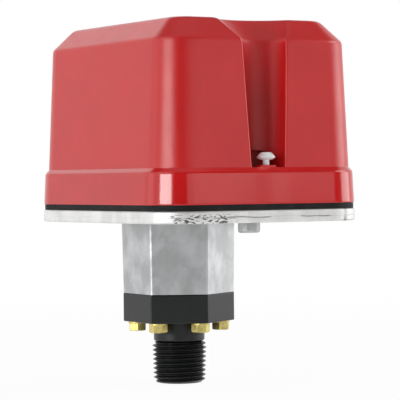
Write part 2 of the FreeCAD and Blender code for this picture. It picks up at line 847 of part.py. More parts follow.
def switch_case(side):
    """Upper half of a switch: a block with the cavity's roof, slots and holes."""
    y0, y1 = side * y_switch_face, side * y_switch_far
    body = block(x_switch_back, x_switch_front, y0, y1, z_switch_joint, z_switch_top)
    cuts = [switch_cavity(side)]
    low, high = min(y0, y1), max(y0, y1)
    cuts += [across(bolt_radius + bolt_clearance, low, high, x, z_bolt) for x in bolt_places()]
    z_end = z_terminal_head() - terminal_screw_length - screw_hole_spare
    for x in terminal_places():
        cuts.append(widened(terminal_slot(x, side, z_cavity_top).BoundBox, terminal_clearance))
        cuts.append(screw_hole(terminal_screw_radius, z_end, z_switch_top, x, side * y_switch))
    return body.cut(Part.makeCompound(cuts))


def switch_cover(side):
    """Lower half of a switch, which guides the plunger."""
    y0, y1 = side * y_switch_face, side * y_switch_far
    body = block(x_switch_back, x_switch_front, y0, y1, z_switch, z_switch_joint)
    guide = cylinder(plunger_radius + plunger_clearance, z_switch, z_cavity, 0, side * y_switch)
    return body.cut(Part.makeCompound([switch_cavity(side), guide]))


def switch_plunger(side):
    """Round-tipped plunger with a collar that keeps it in the switch."""
    y = side * y_switch
    pin = cylinder(plunger_radius, z_plunger, z_switch + plunger_inside, 0, y)
    tip = [e for e in pin.Edges if e.BoundBox.ZMax < z_plunger + plunger_reach / 2]
    pin = pin.makeFillet(plunger_radius / 2, tip)
    z_low = z_cavity + plunger_clearance
    collar = cylinder(plunger_collar_radius, z_low, z_low + plunger_collar_height, 0, y)
    return joined([pin, collar])


def blade_tip():
    x_strip = terminal_places()[-1] + terminal_width / 2 - terminal_thickness
    return x_strip - blade_end_gap


def blade_root():
    return terminal_places()[0] + terminal_width / 2 + blade_root_gap + blade_root_radius


def switch_blade(side):
    """Contact blade from its pivot bead to its tip, with a contact on both faces."""
    half = blade_width / 2
    y = side * y_switch
    z_high = z_blade + blade_thickness
    strip = block(blade_root(), blade_tip(), y - half, y + half, z_blade, z_high)
    bead = across(blade_root_radius, y - half, y + half, blade_root(), z_blade + blade_thickness / 2)
    x_contact = blade_tip() - contact_radius
    contact = cylinder(contact_radius, z_blade - contact_height, z_high + contact_height, x_contact, y)
    return joined([strip, bead, contact])


def switch_terminals(side):
    """Three terminals: a plate on top of the case and a strip that runs down to the blade."""
    y = side * y_switch
    half = terminal_width / 2
    reach = blade_width / 2
    z_high = z_switch_top + terminal_thickness
    x_common, x_open, x_closed = terminal_places()
    strips = []
    for x, z_low in ((x_common, z_blade), (x_open, z_open_contact), (x_closed, z_closed_contact)):
        plate = block(x - half, x + half, y - half, y + half, z_switch_top, z_high)
        plate = plate.cut(screw_hole(terminal_screw_radius, z_switch_top, z_high, x, y))
        strips.append([plate, terminal_slot(x, side, z_low)])
    x_low, x_high = x_open + half - terminal_thickness, blade_tip()
    z_upper = z_open_contact + terminal_thickness
    strips[1].append(block(x_low, x_high, y - reach, y + reach, z_open_contact, z_upper))
    x_low, x_high = blade_tip() - 2 * contact_radius, x_closed + half
    z_low = z_closed_contact - terminal_thickness
    strips[2].append(block(x_low, x_high, y - reach, y + reach, z_low, z_closed_contact))
    return Part.makeCompound([joined(strip) for strip in strips])


def z_terminal_head():
    return z_switch_top + terminal_thickness + clamp_thickness


def switch_clamps(side):
    """Square clamping plates under the terminal screws."""
    half = clamp_width / 2
    y = side * y_switch
    z_low = z_switch_top + terminal_thickness
    plates = []
    for x in terminal_places():
        plate = block(x - half, x + half, y - half, y + half, z_low, z_terminal_head())
        plates.append(plate.cut(screw_hole(terminal_screw_radius, z_low, z_terminal_head(), x, y)))
    return Part.makeCompound(plates)


def switch_terminal_screws(side):
    """Slotted screws that hold the clamping plates."""
    y = side * y_switch
    z_head = z_terminal_head()
    z_head_top = z_head + terminal_head_height
    screws = []
    for x in terminal_places():
        shank = cylinder(terminal_screw_radius, z_head - terminal_screw_length, z_head, x, y)
        head = cylinder(terminal_head_radius, z_head, z_head_top, x, y)
        screws.append(joined([shank, head]).cut(driver_slot(terminal_head_radius, z_head_top, x, y)))
    return Part.makeCompound(screws)


SINGLE_PARTS = (
    pressure_fitting, diaphragm, flange_screws, base_casting, conduit_knockout, ground_screw, ground_clamp,
    cover, cover_gasket, piston, push_rod, rod_nut, range_spring, spring_seat, adjusting_wheel,
    wheel_retaining_ring, thrust_washer, trip_yoke, trip_screws, trip_locknuts, switch_bracket,
    bracket_screws, switch_bolts, switch_nuts, switch_insulators,
)
SWITCH_PARTS = {
    "case": switch_case, "cover": switch_cover, "plunger": switch_plunger, "blade": switch_blade,
    "terminals": switch_terminals, "clamps": switch_clamps, "terminal_screws": switch_terminal_screws,
}


def nodes():
    """Every piece of the switch, by name."""
    made = {part.__name__: part() for part in SINGLE_PARTS}
    for end, x in (("right", x_screw_right), ("left", x_screw_left)):
        made[f"cover_screw_{end}"] = cover_screw(x)
        made[f"screw_retainer_{end}"] = screw_retainer(x)
    for letter, side in SIDES.items():
        for name, part in SWITCH_PARTS.items():
            made[f"switch_{letter}_{name}"] = part(side)
    return made


def main():
    os.makedirs("parts", exist_ok=True)
    for name, shape in nodes().items():
        shape.exportStep(f"parts/{name}.step")


if __name__ == "__main__":
    main()
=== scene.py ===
import json
import math

import bmesh
import bpy
import numpy as np
from mathutils import Matrix, Vector


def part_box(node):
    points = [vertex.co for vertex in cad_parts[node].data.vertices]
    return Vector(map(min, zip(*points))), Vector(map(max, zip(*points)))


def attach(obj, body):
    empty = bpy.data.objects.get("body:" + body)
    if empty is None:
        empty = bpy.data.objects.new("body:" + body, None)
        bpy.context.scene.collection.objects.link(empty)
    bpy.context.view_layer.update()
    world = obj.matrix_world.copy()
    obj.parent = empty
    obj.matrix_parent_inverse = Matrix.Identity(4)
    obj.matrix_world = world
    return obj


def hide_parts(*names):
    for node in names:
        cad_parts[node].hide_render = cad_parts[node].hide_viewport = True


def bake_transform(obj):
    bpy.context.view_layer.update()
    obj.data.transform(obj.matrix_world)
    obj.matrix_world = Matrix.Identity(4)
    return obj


bl_info = {
    "name": "Pressure supervisory switch",
    "version": (1, 0, 0),
    "blender": (4, 5, 0),
    "location": "View3D > Sidebar > Switch",
    "description": "Surfaces, finishes and studio of a pressure supervisory switch, round its solid model",
    "category": "Object",
}

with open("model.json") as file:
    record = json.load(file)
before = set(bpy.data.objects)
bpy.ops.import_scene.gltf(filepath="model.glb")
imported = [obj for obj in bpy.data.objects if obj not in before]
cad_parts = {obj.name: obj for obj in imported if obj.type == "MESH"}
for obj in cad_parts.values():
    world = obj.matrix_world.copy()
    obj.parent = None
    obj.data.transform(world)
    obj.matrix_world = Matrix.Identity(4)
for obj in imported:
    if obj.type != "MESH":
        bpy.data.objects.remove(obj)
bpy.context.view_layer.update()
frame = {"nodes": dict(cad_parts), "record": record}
NODES = frame["nodes"]
MM = 0.001
FINISHES = {}

COVER_LOW, COVER_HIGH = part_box("cover")
FITTING_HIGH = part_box("pressure_fitting")[1]
BASE_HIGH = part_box("base_casting")[1]
RIGHT_SCREW_LOW, RIGHT_SCREW_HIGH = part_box("cover_screw_right")
LEFT_SCREW_LOW, LEFT_SCREW_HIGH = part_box("cover_screw_left")
FLANGE_SCREWS_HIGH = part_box("flange_screws")[1]
SPRING_LOW, SPRING_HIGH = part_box("range_spring")

# Sizes of the solid model that its boxes don't give, and choices of the scene
WELD = 0.001 * MM
SLIVER = 0.0005 * MM
PLATE_THICKNESS = 4.7 * MM
RING_ROOM = 0.15 * MM
SPRING_CUT = 0.38
HEAD_TURNS = (4, 21, 47, 12, 33, 55)
SCREW_CREASE = 40.0
SPRING_CREASE = 50.0

# Sizes of the studio
SENSOR_WIDTH = 36.0
LIGHT_DISTANCE = 1.3
CARD_DISTANCE = 1.6
CARD_HALF = 0.92
CARD_HEIGHT = 1.7
OVERHEAD_HALF = 2.0
OVERHEAD_HEIGHT = 2.0
FLOOR_HALF = 12.0
SHADOW_SHARE = 0.045
FADE_START = 0.25
FADE_END = 0.7


# Settings

def length(name, description, millimetres):
    """A size, written in millimetres and kept in metres."""
    return bpy.props.FloatProperty(name=name, description=description, default=millimetres * MM,
                                   unit="LENGTH", precision=5)


def angle(name, description, degrees):
    """An angle, written in degrees."""
    return bpy.props.FloatProperty(name=name, description=description, default=math.radians(degrees),
                                   subtype="ANGLE")


def number(name, description, value):
    """A plain factor."""
    return bpy.props.FloatProperty(name=name, description=description, default=value)


def colour(name, description, red, green, blue):
    """A linear colour."""
    return bpy.props.FloatVectorProperty(name=name, description=description, default=(red, green, blue),
                                         subtype="COLOR", size=3, min=0.0, max=1.0)


class CoverSizes(bpy.types.PropertyGroup):
    corner_radius: length("Corner radius", "Radius of the flange's corners, seen from above", 17.0)
    flange_draft: length("Flange draft", "How far the flange leans in over its height", 0.6)
    step_width: length("Step width", "Width of the sloping step above the flange", 1.5)
    step_height: length("Step height", "Height of the sloping step above the flange", 1.6)
    wall_draft: length("Wall draft", "How far the walls lean in over their height", 2.15)
    wall_height: length("Wall height", "Height of the walls from the step to the bevel", 48.0)
    bevel_width: length("Bevel width", "Width of the bevel round the top", 8.0)
    bevel_height: length("Bevel height", "Height of the bevel round the top", 8.3)
    top_corner: length("Top corner", "Corner radius of the flat top", 7.0)
    wall: length("Wall", "Thickness of the moulding", 2.6)
    foot_round: length("Foot rounding", "Rounding of the flange's lower edge", 0.4)
    flange_round: length("Flange rounding", "Rounding of the flange's upper edge", 0.6)
    shoulder_round: length("Shoulder rounding", "Rounding between wall and bevel", 1.0)
    crown_round: length("Crown rounding", "Rounding between bevel and top", 1.8)
    screw_inset: length("Screw inset", "From the foot of the flange in to the screw's axis", 4.4)
    channel_foot: length("Channel foot", "Radius of the screw channel at its floor", 7.5)
    channel_head: length("Channel head", "Radius of the screw channel at the top of the wall", 9.7)
    channel_flare: length("Channel flare", "Widening of the channel through the bevel", 7.9)
    mouth_round: length("Mouth rounding", "Rounding of the channel's upright edges", 0.9)
    funnel_round: length("Funnel rounding", "Rounding of the channel's edges at the top", 3.2)
    sink: length("Sink mark", "Depth of the sink mark on the flange in front of each screw post", 0.14)
    pocket_half: length("Pocket half width", "Half width of the arched pocket round the screw", 7.3)
    pocket_rise: length("Pocket rise", "Height of the arched pocket round the screw", 6.5)
    pocket_square: number("Pocket squareness", "Power of the pocket's arch: 2 is an ellipse", 3.5)
    pocket_depth: length("Pocket depth", "From the screw's axis to the back of the pocket", 12.0)
    lip_radius: length("Lip radius", "Radius of the lip round the screw hole", 3.8)
    lip_height: length("Lip height", "Height of the lip round the screw hole", 0.8)
    hole_radius: length("Hole radius", "Radius of the screw hole", 1.6)
    post_bore: length("Post bore", "Radius of the counterbore under the screw hole", 2.5)
    post_room: length("Post room", "Height of that counterbore", 7.5)


class FittingSizes(bpy.types.PropertyGroup):
    thread_length: length("Thread length", "Length of the pipe thread", 17.0)
    thread_pitch: length("Thread pitch", "From crest to crest", 25.4 / 14)
    thread_depth: length("Thread depth", "From crest to root", 1.45)
    thread_end_radius: length("Thread end radius", "Crest radius at the lower end", 10.36)
    thread_taper: number("Thread taper", "Growth of the radius with height", 1 / 32)
    collar_radius: length("Collar radius", "Radius of the plain neck above the thread", 10.2)
    collar_height: length("Collar height", "Height of the plain neck above the thread", 7.7)
    port_radius: length("Port radius", "Radius of the pressure port", 4.6)
    chamber_radius: length("Chamber radius", "Radius of the chamber under the diaphragm", 10.5)
    chamber_depth: length("Chamber depth", "Depth of the chamber under the diaphragm", 3.0)
    seat_radius: length("Seat radius", "Radius of the diaphragm's seat", 13.8)
    seat_depth: length("Seat depth", "Depth of the diaphragm's seat", 1.2)
    across_flats: length("Across flats", "Width of the hexagon", 38.6)
    corner_round: length("Corner rounding", "Rounding of the hexagon's upright edges", 0.6)
    edge_round: length("Edge rounding", "Rounding of the hexagon's level edges", 0.5)


class FastenerSizes(bpy.types.PropertyGroup):
    head_across: length("Head across flats", "Hexagon of the flange screws", 6.4)
    head_height: length("Head height", "Height of the hexagon head", 3.0)
    washer_diameter: length("Washer diameter", "Washer face under the head", 7.2)
    washer_height: length("Washer height", "Thickness of the washer face", 0.8)
    shank_diameter: length("Shank diameter", "Shank of the flange screws", 4.1)
    circle_inset: length("Circle inset", "From the hexagon's corner in to the flange screw", 5.6)
    cover_shank: length("Cover screw shank", "Diameter of the cover screw's thread", 2.8)
    cover_pitch: length("Cover screw pitch", "Pitch of the cover screw's thread", 0.6)
    brim_diameter: length("Brim diameter", "Brim of the cover screw's head", 7.4)
    brim_height: length("Brim height", "Thickness of that brim", 0.9)
    dome_diameter: length("Dome diameter", "Dome of the cover screw's head", 5.6)
    dome_height: length("Dome height", "Height of that dome", 1.9)
    backed_out: length("Backed out", "How far the screw is backed out beyond its place in the solid", 0.55)
    socket_across: length("Socket across flats", "Hexagon socket in the dome", 2.4)
    socket_depth: length("Socket depth", "Depth of the socket", 1.5)
    socket_pin: length("Socket pin", "Diameter of the pin in the socket", 0.8)
    spring_wire: length("Spring wire", "Diameter of the range spring's wire", 1.6)
    spring_turns: number("Spring turns", "Turns of the range spring", 4.0)


class FinishColours(bpy.types.PropertyGroup):
    red: colour("Cover red", "Moulded cover", 0.66, 0.0140, 0.0150)
    gasket: colour("Gasket", "Rubber gasket", 0.012, 0.012, 0.013)
    casting: colour("Casting", "Die-cast base", 0.55, 0.56, 0.565)
    trimmed: colour("Trimmed edge", "Trimmed edge of the die-cast plate", 0.86, 0.86, 0.85)
    fitting: colour("Fitting", "Black moulded fitting", 0.010, 0.011, 0.011)
    brass: colour("Brass", "Flange screws and terminals", 0.66, 0.55, 0.20)
    steel: colour("Steel", "Bright cover screws", 0.91, 0.96, 0.95)
    zinc: colour("Zinc", "Plated brackets and small screws", 0.62, 0.63, 0.62)
    switch: colour("Switch", "Thermoset switch cases", 0.020, 0.018, 0.017)
    plunger: colour("Plunger", "Switch plungers", 0.55, 0.50, 0.40)
    nylon: colour("Nylon", "Nylon washer and seat", 0.62, 0.60, 0.53)
    earth: colour("Earth green", "Earth screw", 0.02, 0.20, 0.06)
    insulator: colour("Insulator", "Fibre sheets", 0.33, 0.28, 0.20)
    aluminium: colour("Aluminium", "Wheel and yoke", 0.66, 0.66, 0.67)


class StudioSettings(bpy.types.PropertyGroup):
    azimuth: angle("Azimuth", "Camera direction round the pressure axis", 59.35)
    elevation: angle("Elevation", "Camera direction above the horizon", 0.62)
    roll: angle("Roll", "Tilt of the picture", -0.6)
    distance: length("Distance", "From the pressure axis to the camera", 812.0)
    pivot_height: length("Pivot height", "Height on the pressure axis that the camera circles", 72.67)
    aim_right: length("Aim right", "How far right of the pressure axis the picture is centred", 8.93)
    aim_up: length("Aim up", "How far above the pivot the picture is centred", 0.35)
    lens: number("Lens", "Focal length in millimetres on a 36 mm sensor", 181.9)
    key: number("Key", "Brightness of the low soft light on the left", 11.0)
    left: number("Left", "Brightness of the soft lights high and far on the left", 1.12)
    side: number("Side", "Brightness of the wide soft lights on the right", 1.1)
    rim: number("Rim", "Brightness of the soft light behind on the right", 3.1)
    high: number("High", "Brightness of the soft light high on the right", 4.0)
    top: number("Top", "Brightness of the wide soft light overhead", 0.34)
    sweep: number("Sweep", "Brightness of the lit sweep behind on the left", 0.36)
    ambient: number("Ambient", "Brightness of the room for matt surfaces", 0.36)
    floor: colour("Floor", "Plain pale floor", 0.96, 0.96, 0.96)
    front_card: colour("Front card", "Dark card behind the camera", 0.02, 0.02, 0.02)
    side_card: colour("Side card", "Dark card behind the wide light on the right", 0.03, 0.03, 0.03)
    top_card: colour("Top card", "Grey card overhead", 0.06, 0.06, 0.06)


SETTINGS = {"cover_sizes": CoverSizes, "fitting_sizes": FittingSizes, "fastener_sizes": FastenerSizes,
            "finish_colours": FinishColours, "studio_settings": StudioSettings}


# Meshes from grids

class Grid:
    """Points of a surface of two parameters: rows x columns x 3, closed round either way where it says so."""

    def __init__(self, points, round_rows=False, round_columns=False):
        self.points = np.asarray(points, float)
        self.round_rows = round_rows
        self.round_columns = round_columns

    def faces(self):
        """Quads between neighbouring rows and columns."""
        rows, columns = self.points.shape[:2]
        index = np.arange(rows * columns).reshape(rows, columns)
        if self.round_columns:
            index = np.hstack([index, index[:, :1]])
        if self.round_rows:
            index = np.vstack([index, index[:1]])
        corners = (index[:-1, :-1], index[:-1, 1:], index[1:, 1:], index[1:, :-1])
        return np.stack(corners, axis=-1).reshape(-1, 4)


def placed(name, data):
    """A new object in the scene."""
    made = bpy.data.objects.new(name, data)
    bpy.context.scene.collection.objects.link(made)
    return made


def piece(name, grids, material, body, replaced=(), crease=32.0):
    """One welded mesh from several grids, shaded smooth except at edges sharper than `crease` degrees."""
    points = np.concatenate([grid.points.reshape(-1, 3) for grid in grids])
    starts = np.cumsum([0] + [grid.points.shape[0] * grid.points.shape[1] for grid in grids])
    faces = np.concatenate([grid.faces() + start for grid, start in zip(grids, starts)])
    mesh = bpy.data.meshes.new(name)
    mesh.from_pydata(points.tolist(), [], faces.tolist())
    sheet = bmesh.new()
    sheet.from_mesh(mesh)
    bmesh.ops.remove_doubles(sheet, verts=sheet.verts, dist=WELD)
    bmesh.ops.dissolve_degenerate(sheet, edges=sheet.edges, dist=SLIVER)
    bmesh.ops.recalc_face_normals(sheet, faces=sheet.faces)
    sheet.to_mesh(mesh)
    sheet.free()
    mesh.polygons.foreach_set("use_smooth", np.ones(len(mesh.polygons), bool))
    mesh.set_sharp_from_angle(angle=math.radians(crease))
    mesh.materials.append(material)
    made = placed(name, mesh)
    if body:
        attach(made, body)
    if replaced:
        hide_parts(*replaced)
    return made


def eased_path(stations, cuts, steps=5, lead=0.25 * MM):
    """Rows of a path through stations, with its inner corners eased.

    Each corner is a quadratic curve that leaves its run `cut` before the corner, is drawn towards it and
    joins the next run `cut` after it. A row `lead` outside each end of the curve keeps the flats flat.
    """
    rows = [stations[0]]
    share = np.linspace(0, 1, steps + 1)[:, None]
    for before, here, after, cut in zip(stations, stations[1:], stations[2:], cuts):
        back = (before - here) / np.hypot(*(before - here)[:2])
        ahead = (after - here) / np.hypot(*(after - here)[:2])
        start, end = here + back * cut, here + ahead * cut
        curve = (1 - share) ** 2 * start + 2 * share * (1 - share) * here + share ** 2 * end
        rows += [start + back * lead, *curve, end + ahead * lead]
    rows.append(stations[-1])
    return np.array(rows)


def turned(rows, angles, x=0.0, y=0.0):
    """Points of a surface turned about an upright axis.

    Each row is a radius and a height. The radius is one number, or one for each of the angles.
    """
    radii = np.array([np.broadcast_to(radius, angles.shape) for radius, _ in rows])
    heights = np.array([np.full(angles.shape, height) for _, height in rows])
    return np.stack([x + radii * np.cos(angles), y + radii * np.sin(angles), heights], axis=-1)


def round_angles(count):
    """Angles spread evenly round a turn."""
    return np.linspace(0, 2 * math.pi, count, endpoint=False)


def hexagon(angles, apothem, rounding):
    """Radius of a hexagon round the angles, with corners at 0, 60, ... degrees.

    On a flat it is the apothem over the cosine of the angle from that flat's middle; near a corner it is the
    distance to a small circle that touches both flats.
    """
    off_corner = np.abs((np.asarray(angles) + math.pi / 6) % (math.pi / 3) - math.pi / 6)
    off_flat = math.pi / 6 - off_corner
    centre = (apothem - rounding) / math.cos(math.pi / 6)
    touch = math.atan2((apothem - rounding) * math.tan(math.pi / 6), apothem)
    inside = np.maximum(rounding ** 2 - (centre * np.sin(off_corner)) ** 2, 0)
    arc = centre * np.cos(off_corner) + np.sqrt(inside)
    return np.where(off_flat > touch, arc, apothem / np.cos(off_flat))


def hexagon_angles(round_count, apothem, rounding, corner_count=7):
    """Angles spread evenly round a turn, with more of them on the hexagon's corners and just past them."""
    touch = math.atan2((apothem - rounding) * math.tan(math.pi / 6), apothem)
    past = 1.15
    corner = np.linspace(-past, past, corner_count) * (math.pi / 6 - touch)
    corners = (corner + np.arange(6)[:, None] * math.pi / 3).ravel()
    even = np.arange(round_count) * 2 * math.pi / round_count
    return np.unique(np.round(np.concatenate([even, corners]) % (2 * math.pi), 9))


# Cover

class CoverOutline:
    """The cover's outline at a level, seen from above, about the middle of the enclosure.

    A level is inset, height, corner radius, channel radius and mouth rounding. The end of the cover runs up a
    corner arc, along the end face, round the mouth of the screw channel, round the channel and back out the
    same way.
    """

    # Shares of each stretch at which the outline has its columns
    corner = np.linspace(0, 1, 13)
    face = np.array([0, 0.04, 0.2, 0.4, 0.6, 0.8, 0.96, 1])
    mouth = np.linspace(0, 1, 6)
    side = np.concatenate([[0, 0.004], np.linspace(0.04, 0.96, 15), [0.996, 1]])
    flank_columns = 9
    pocket_columns = 29
    mirror = np.array([1, -1])

    def __init__(self, size, grow):
        self.half_length = (COVER_HIGH.x - COVER_LOW.x) / 2
        self.half_width = (COVER_HIGH.y - COVER_LOW.y) / 2
        self.axis = screw_reach(size)
        self.sink = size.sink if grow == 0 else 0.0
        self.pocket_half = size.pocket_half + grow

    def mouth_angle(self, inset, channel, rounding):
        """Angle about the screw's axis at which the mouth's rounding touches the channel."""
        depth = self.half_length - inset - self.axis - rounding
        reach = channel + rounding
        return np.arctan2(np.sqrt(reach ** 2 - depth ** 2), depth)

    def set_arc(self, inset, channel, rounding):
        """Shares of the half arc at which the channel has columns, with a pair where the pocket starts."""
        half = math.pi - self.mouth_angle(inset, channel, rounding)
        spring = math.asin(self.pocket_half / channel) / half
        outer = np.linspace(1, spring, self.flank_columns)
        inner = spring * np.sin(np.linspace(1, -1, self.pocket_columns) * math.pi / 2)
        self.share = np.concatenate([-outer, -inner, outer[::-1]])
        self.in_pocket = np.pad(np.ones(self.pocket_columns, bool), self.flank_columns)
        mouths = len(self.mouth)
        first = len(self.corner) + len(self.face)
        self.arc_columns = slice(first + mouths, first + mouths + len(self.share))
        self.channel_columns = slice(first, self.arc_columns.stop + mouths)

    def channel_arc(self, inset, channel, rounding):
        """Points on the channel itself, from its lower mouth through its back to its upper mouth."""
        turn = math.pi - self.share * (math.pi - self.mouth_angle(inset, channel, rounding))
        return np.stack([self.axis + channel * np.cos(turn), channel * np.sin(turn)], axis=-1)

    def corner_arc(self, inset, corner, start):
        """Quarter turn of a corner, from `start` quarter turns."""
        turn = (start + self.corner) * math.pi / 2
        x = self.half_length - inset - corner + corner * np.cos(turn)
        sign = np.where(start < 0, -1, 1)
        y = sign * (self.half_width - inset - corner) + corner * np.sin(turn)
        return np.stack([x, y], axis=-1)

    def end_face(self, inset, corner, y_mouth):
        """The straight face of the end on one side, from the corner to the mouth."""
        y_corner = self.half_width - inset - corner
        y = y_corner + (y_mouth - y_corner) * self.face
        return np.stack([np.broadcast_to(self.half_length - inset, y.shape), y], axis=-1)

    def end(self, level, arc_level):
        """The whole end, for levels given as columns of rows.

        The channel's own columns have levels of their own.
        """
        inset, corner, channel, rounding = level[:, :1], level[:, 2:3], level[:, 3:4], level[:, 4:5]
        mouth_angle = self.mouth_angle(inset, channel, rounding)
        y_mouth = (channel + rounding) * np.sin(mouth_angle)
        face = self.end_face(inset, corner, y_mouth)
        turn = self.mouth * (mouth_angle - math.pi)
        x = self.half_length - inset - rounding + rounding * np.cos(turn)
        mouth = np.stack([x, y_mouth + rounding * np.sin(turn)], axis=-1)
        arc = self.channel_arc(arc_level[..., 0], arc_level[..., 3], arc_level[..., 4])
        return np.concatenate([self.corner_arc(inset, corner, -1), face * self.mirror, mouth * self.mirror,
                               arc, mouth[:, ::-1], face[:, ::-1], self.corner_arc(inset, corner, 0)], axis=1)

    def plain_end(self, level, y_mouth):
        """The end below the channel, where its columns lie along the straight face.

        The sink mark in that face is one wave of a cosine.
        """
        inset, corner = level[:, :1], level[:, 2:3]
        face = self.end_face(inset, corner, y_mouth)
        span = self.channel_columns.stop - self.channel_columns.start
        y = np.broadcast_to(np.linspace(-y_mouth, y_mouth, span), (len(level), span))
        dip = self.sink * 0.5 * (1 + np.cos(math.pi * y / y_mouth))
        line = np.stack([self.half_length - inset - dip, y], axis=-1)
        return np.concatenate([self.corner_arc(inset, corner, -1), face * self.mirror, line, face[:, ::-1],
                               self.corner_arc(inset, corner, 0)], axis=1)

    def loop(self, end):
        """The closed outline: one end, a side, the other end half a turn round, and the other side."""
        start = end[:, -1:]
        side = start + (start * np.array([-1, 1]) - start) * self.side[:, None]
        return np.concatenate([end, side, -end, -side], axis=1)


def cover_middle():
    """The middle of the enclosure, seen from above."""
    return np.array([(COVER_LOW.x + COVER_HIGH.x) / 2, (COVER_LOW.y + COVER_HIGH.y) / 2])


def screw_reach(size):
    """From the middle of the enclosure to the axis of a cover screw."""
    return (COVER_HIGH.x - COVER_LOW.x) / 2 - size.screw_inset


def raised(flat, heights):
    """Flat points about the enclosure's middle, lifted to their heights."""
    heights = np.broadcast_to(heights, flat.shape[:-1])
    return np.concatenate([flat + cover_middle(), heights[..., None]], axis=-1)


def cover_levels(size):
    """Heights of the cover's ledge, wall top and top, and the insets there."""
    z_wall = COVER_HIGH.z - size.bevel_height
    z_ledge = z_wall - size.wall_height
    in_ledge = size.flange_draft + size.step_width
    in_wall = in_ledge + size.wall_draft
    return (z_ledge, z_wall, COVER_HIGH.z), (in_ledge, in_wall, in_wall + size.bevel_width)


def wall_stations(size, grow):
    """Stations of the wall and the bevel, `grow` inside the outer face.

    Each is an inset, a height, a corner radius, a channel radius and a mouth rounding.
    """
    (z_ledge, z_wall, z_top), (in_ledge, in_wall, in_top) = cover_levels(size)
    turn = grow * math.tan(math.atan2(size.bevel_height, size.bevel_width) / 2)
    crown = 1.2 * size.crown_round
    corner = size.corner_radius
    channel_top = size.channel_head + size.channel_flare
    flat_top = channel_top + crown * size.channel_flare / size.bevel_width
    mouth, funnel = size.mouth_round, size.funnel_round
    return np.array([
        [in_ledge + grow, z_ledge - grow, corner - in_ledge - grow, size.channel_foot + grow, mouth],
        [in_wall + grow, z_wall - turn, corner - in_wall - grow, size.channel_head + grow, mouth],
        [in_top + turn, z_top - grow, size.top_corner, channel_top + grow, funnel],
        [in_top + turn + crown, z_top - grow, size.top_corner - 0.9 * crown, flat_top + grow, funnel]])


def wall_slope(stations):
    """How each measure of the wall's stations changes with height."""
    return (stations[1] - stations[0]) / (stations[1, 1] - stations[0, 1])


def arch_heights(outline, stations, size, grow):
    """Height at which each column of the channel starts: the floor, or the pocket's arch over it.

    The arch is half a squared ellipse across the channel. The channel widens upwards, so the height and the
    distance from the middle are found in turn until they agree.
    """
    rounds = 12
    z_floor = stations[0, 1]
    power = size.pocket_square
    rise = size.pocket_rise + 2 * grow
    slope = wall_slope(stations)
    heights = np.full(outline.share.shape, z_floor)
    for _ in range(rounds):
        level = stations[0] + (heights - z_floor)[:, None] * slope
        across = np.abs(outline.channel_arc(level[:, 0], level[:, 3], level[:, 4])[:, 1])
        arch = np.maximum(1 - (across / outline.pocket_half) ** power, 0) ** (1 / power)
        heights = z_floor + rise * arch * outline.in_pocket
    return heights


def flange_rows(size, grow):
    """Rows of the flange from the rim upwards: inset, height and corner radius."""
    (z_ledge, _, _), (in_ledge, _, _) = cover_levels(size)
    if grow:
        insets = np.array([grow, in_ledge + grow])
        heights = np.array([COVER_LOW.z, z_ledge - grow])
    else:
        z_top = z_ledge - size.step_height
        path = np.array([[size.wall / 2, COVER_LOW.z], [0, COVER_LOW.z], [size.flange_draft, z_top],
                         [in_ledge, z_ledge]])
        insets, heights = eased_path(path, (size.foot_round, size.flange_round)).T
    return np.stack([insets, heights, size.corner_radius - insets], axis=1)


def channel_floor(size, ring, z_floor, hole_angles):
    """Floor of a screw channel, about the screw's axis: flat points, their heights and the hole's angles.

    Its rows run from a ring of points in to the screw hole. On the outer skin they step up onto the lip and
    go down through the hole. The inner skin has only the ring and the hole, at the outer skin's angles.
    """
    radius = np.hypot(ring[:, 0], ring[:, 1])
    turn = np.arctan2(ring[:, 1], ring[:, 0])
    if hole_angles is None:
        hole_angles = turn
        soft = 0.25 * MM
        z_lip = z_floor + size.lip_height
        lip = np.minimum(radius, size.lip_radius)
        rows = [(radius, z_floor), (lip, z_floor), (lip, z_lip - soft),
                (np.minimum(radius, size.lip_radius - soft), z_lip), (size.hole_radius + soft, z_lip),
                (size.hole_radius, z_lip - soft), (size.hole_radius, z_floor - size.wall)]
        turns = np.array([turn] * len(rows))
    else:
        rows = [(radius, z_floor), (size.hole_radius, z_floor)]
        turns = np.array([turn, hole_angles])
    radii = np.array([np.broadcast_to(row, radius.shape) for row, _ in rows])
    heights = np.array([[height] for _, height in rows])
    return np.stack([radii * np.cos(turns), radii * np.sin(turns)], axis=-1), heights, hole_angles


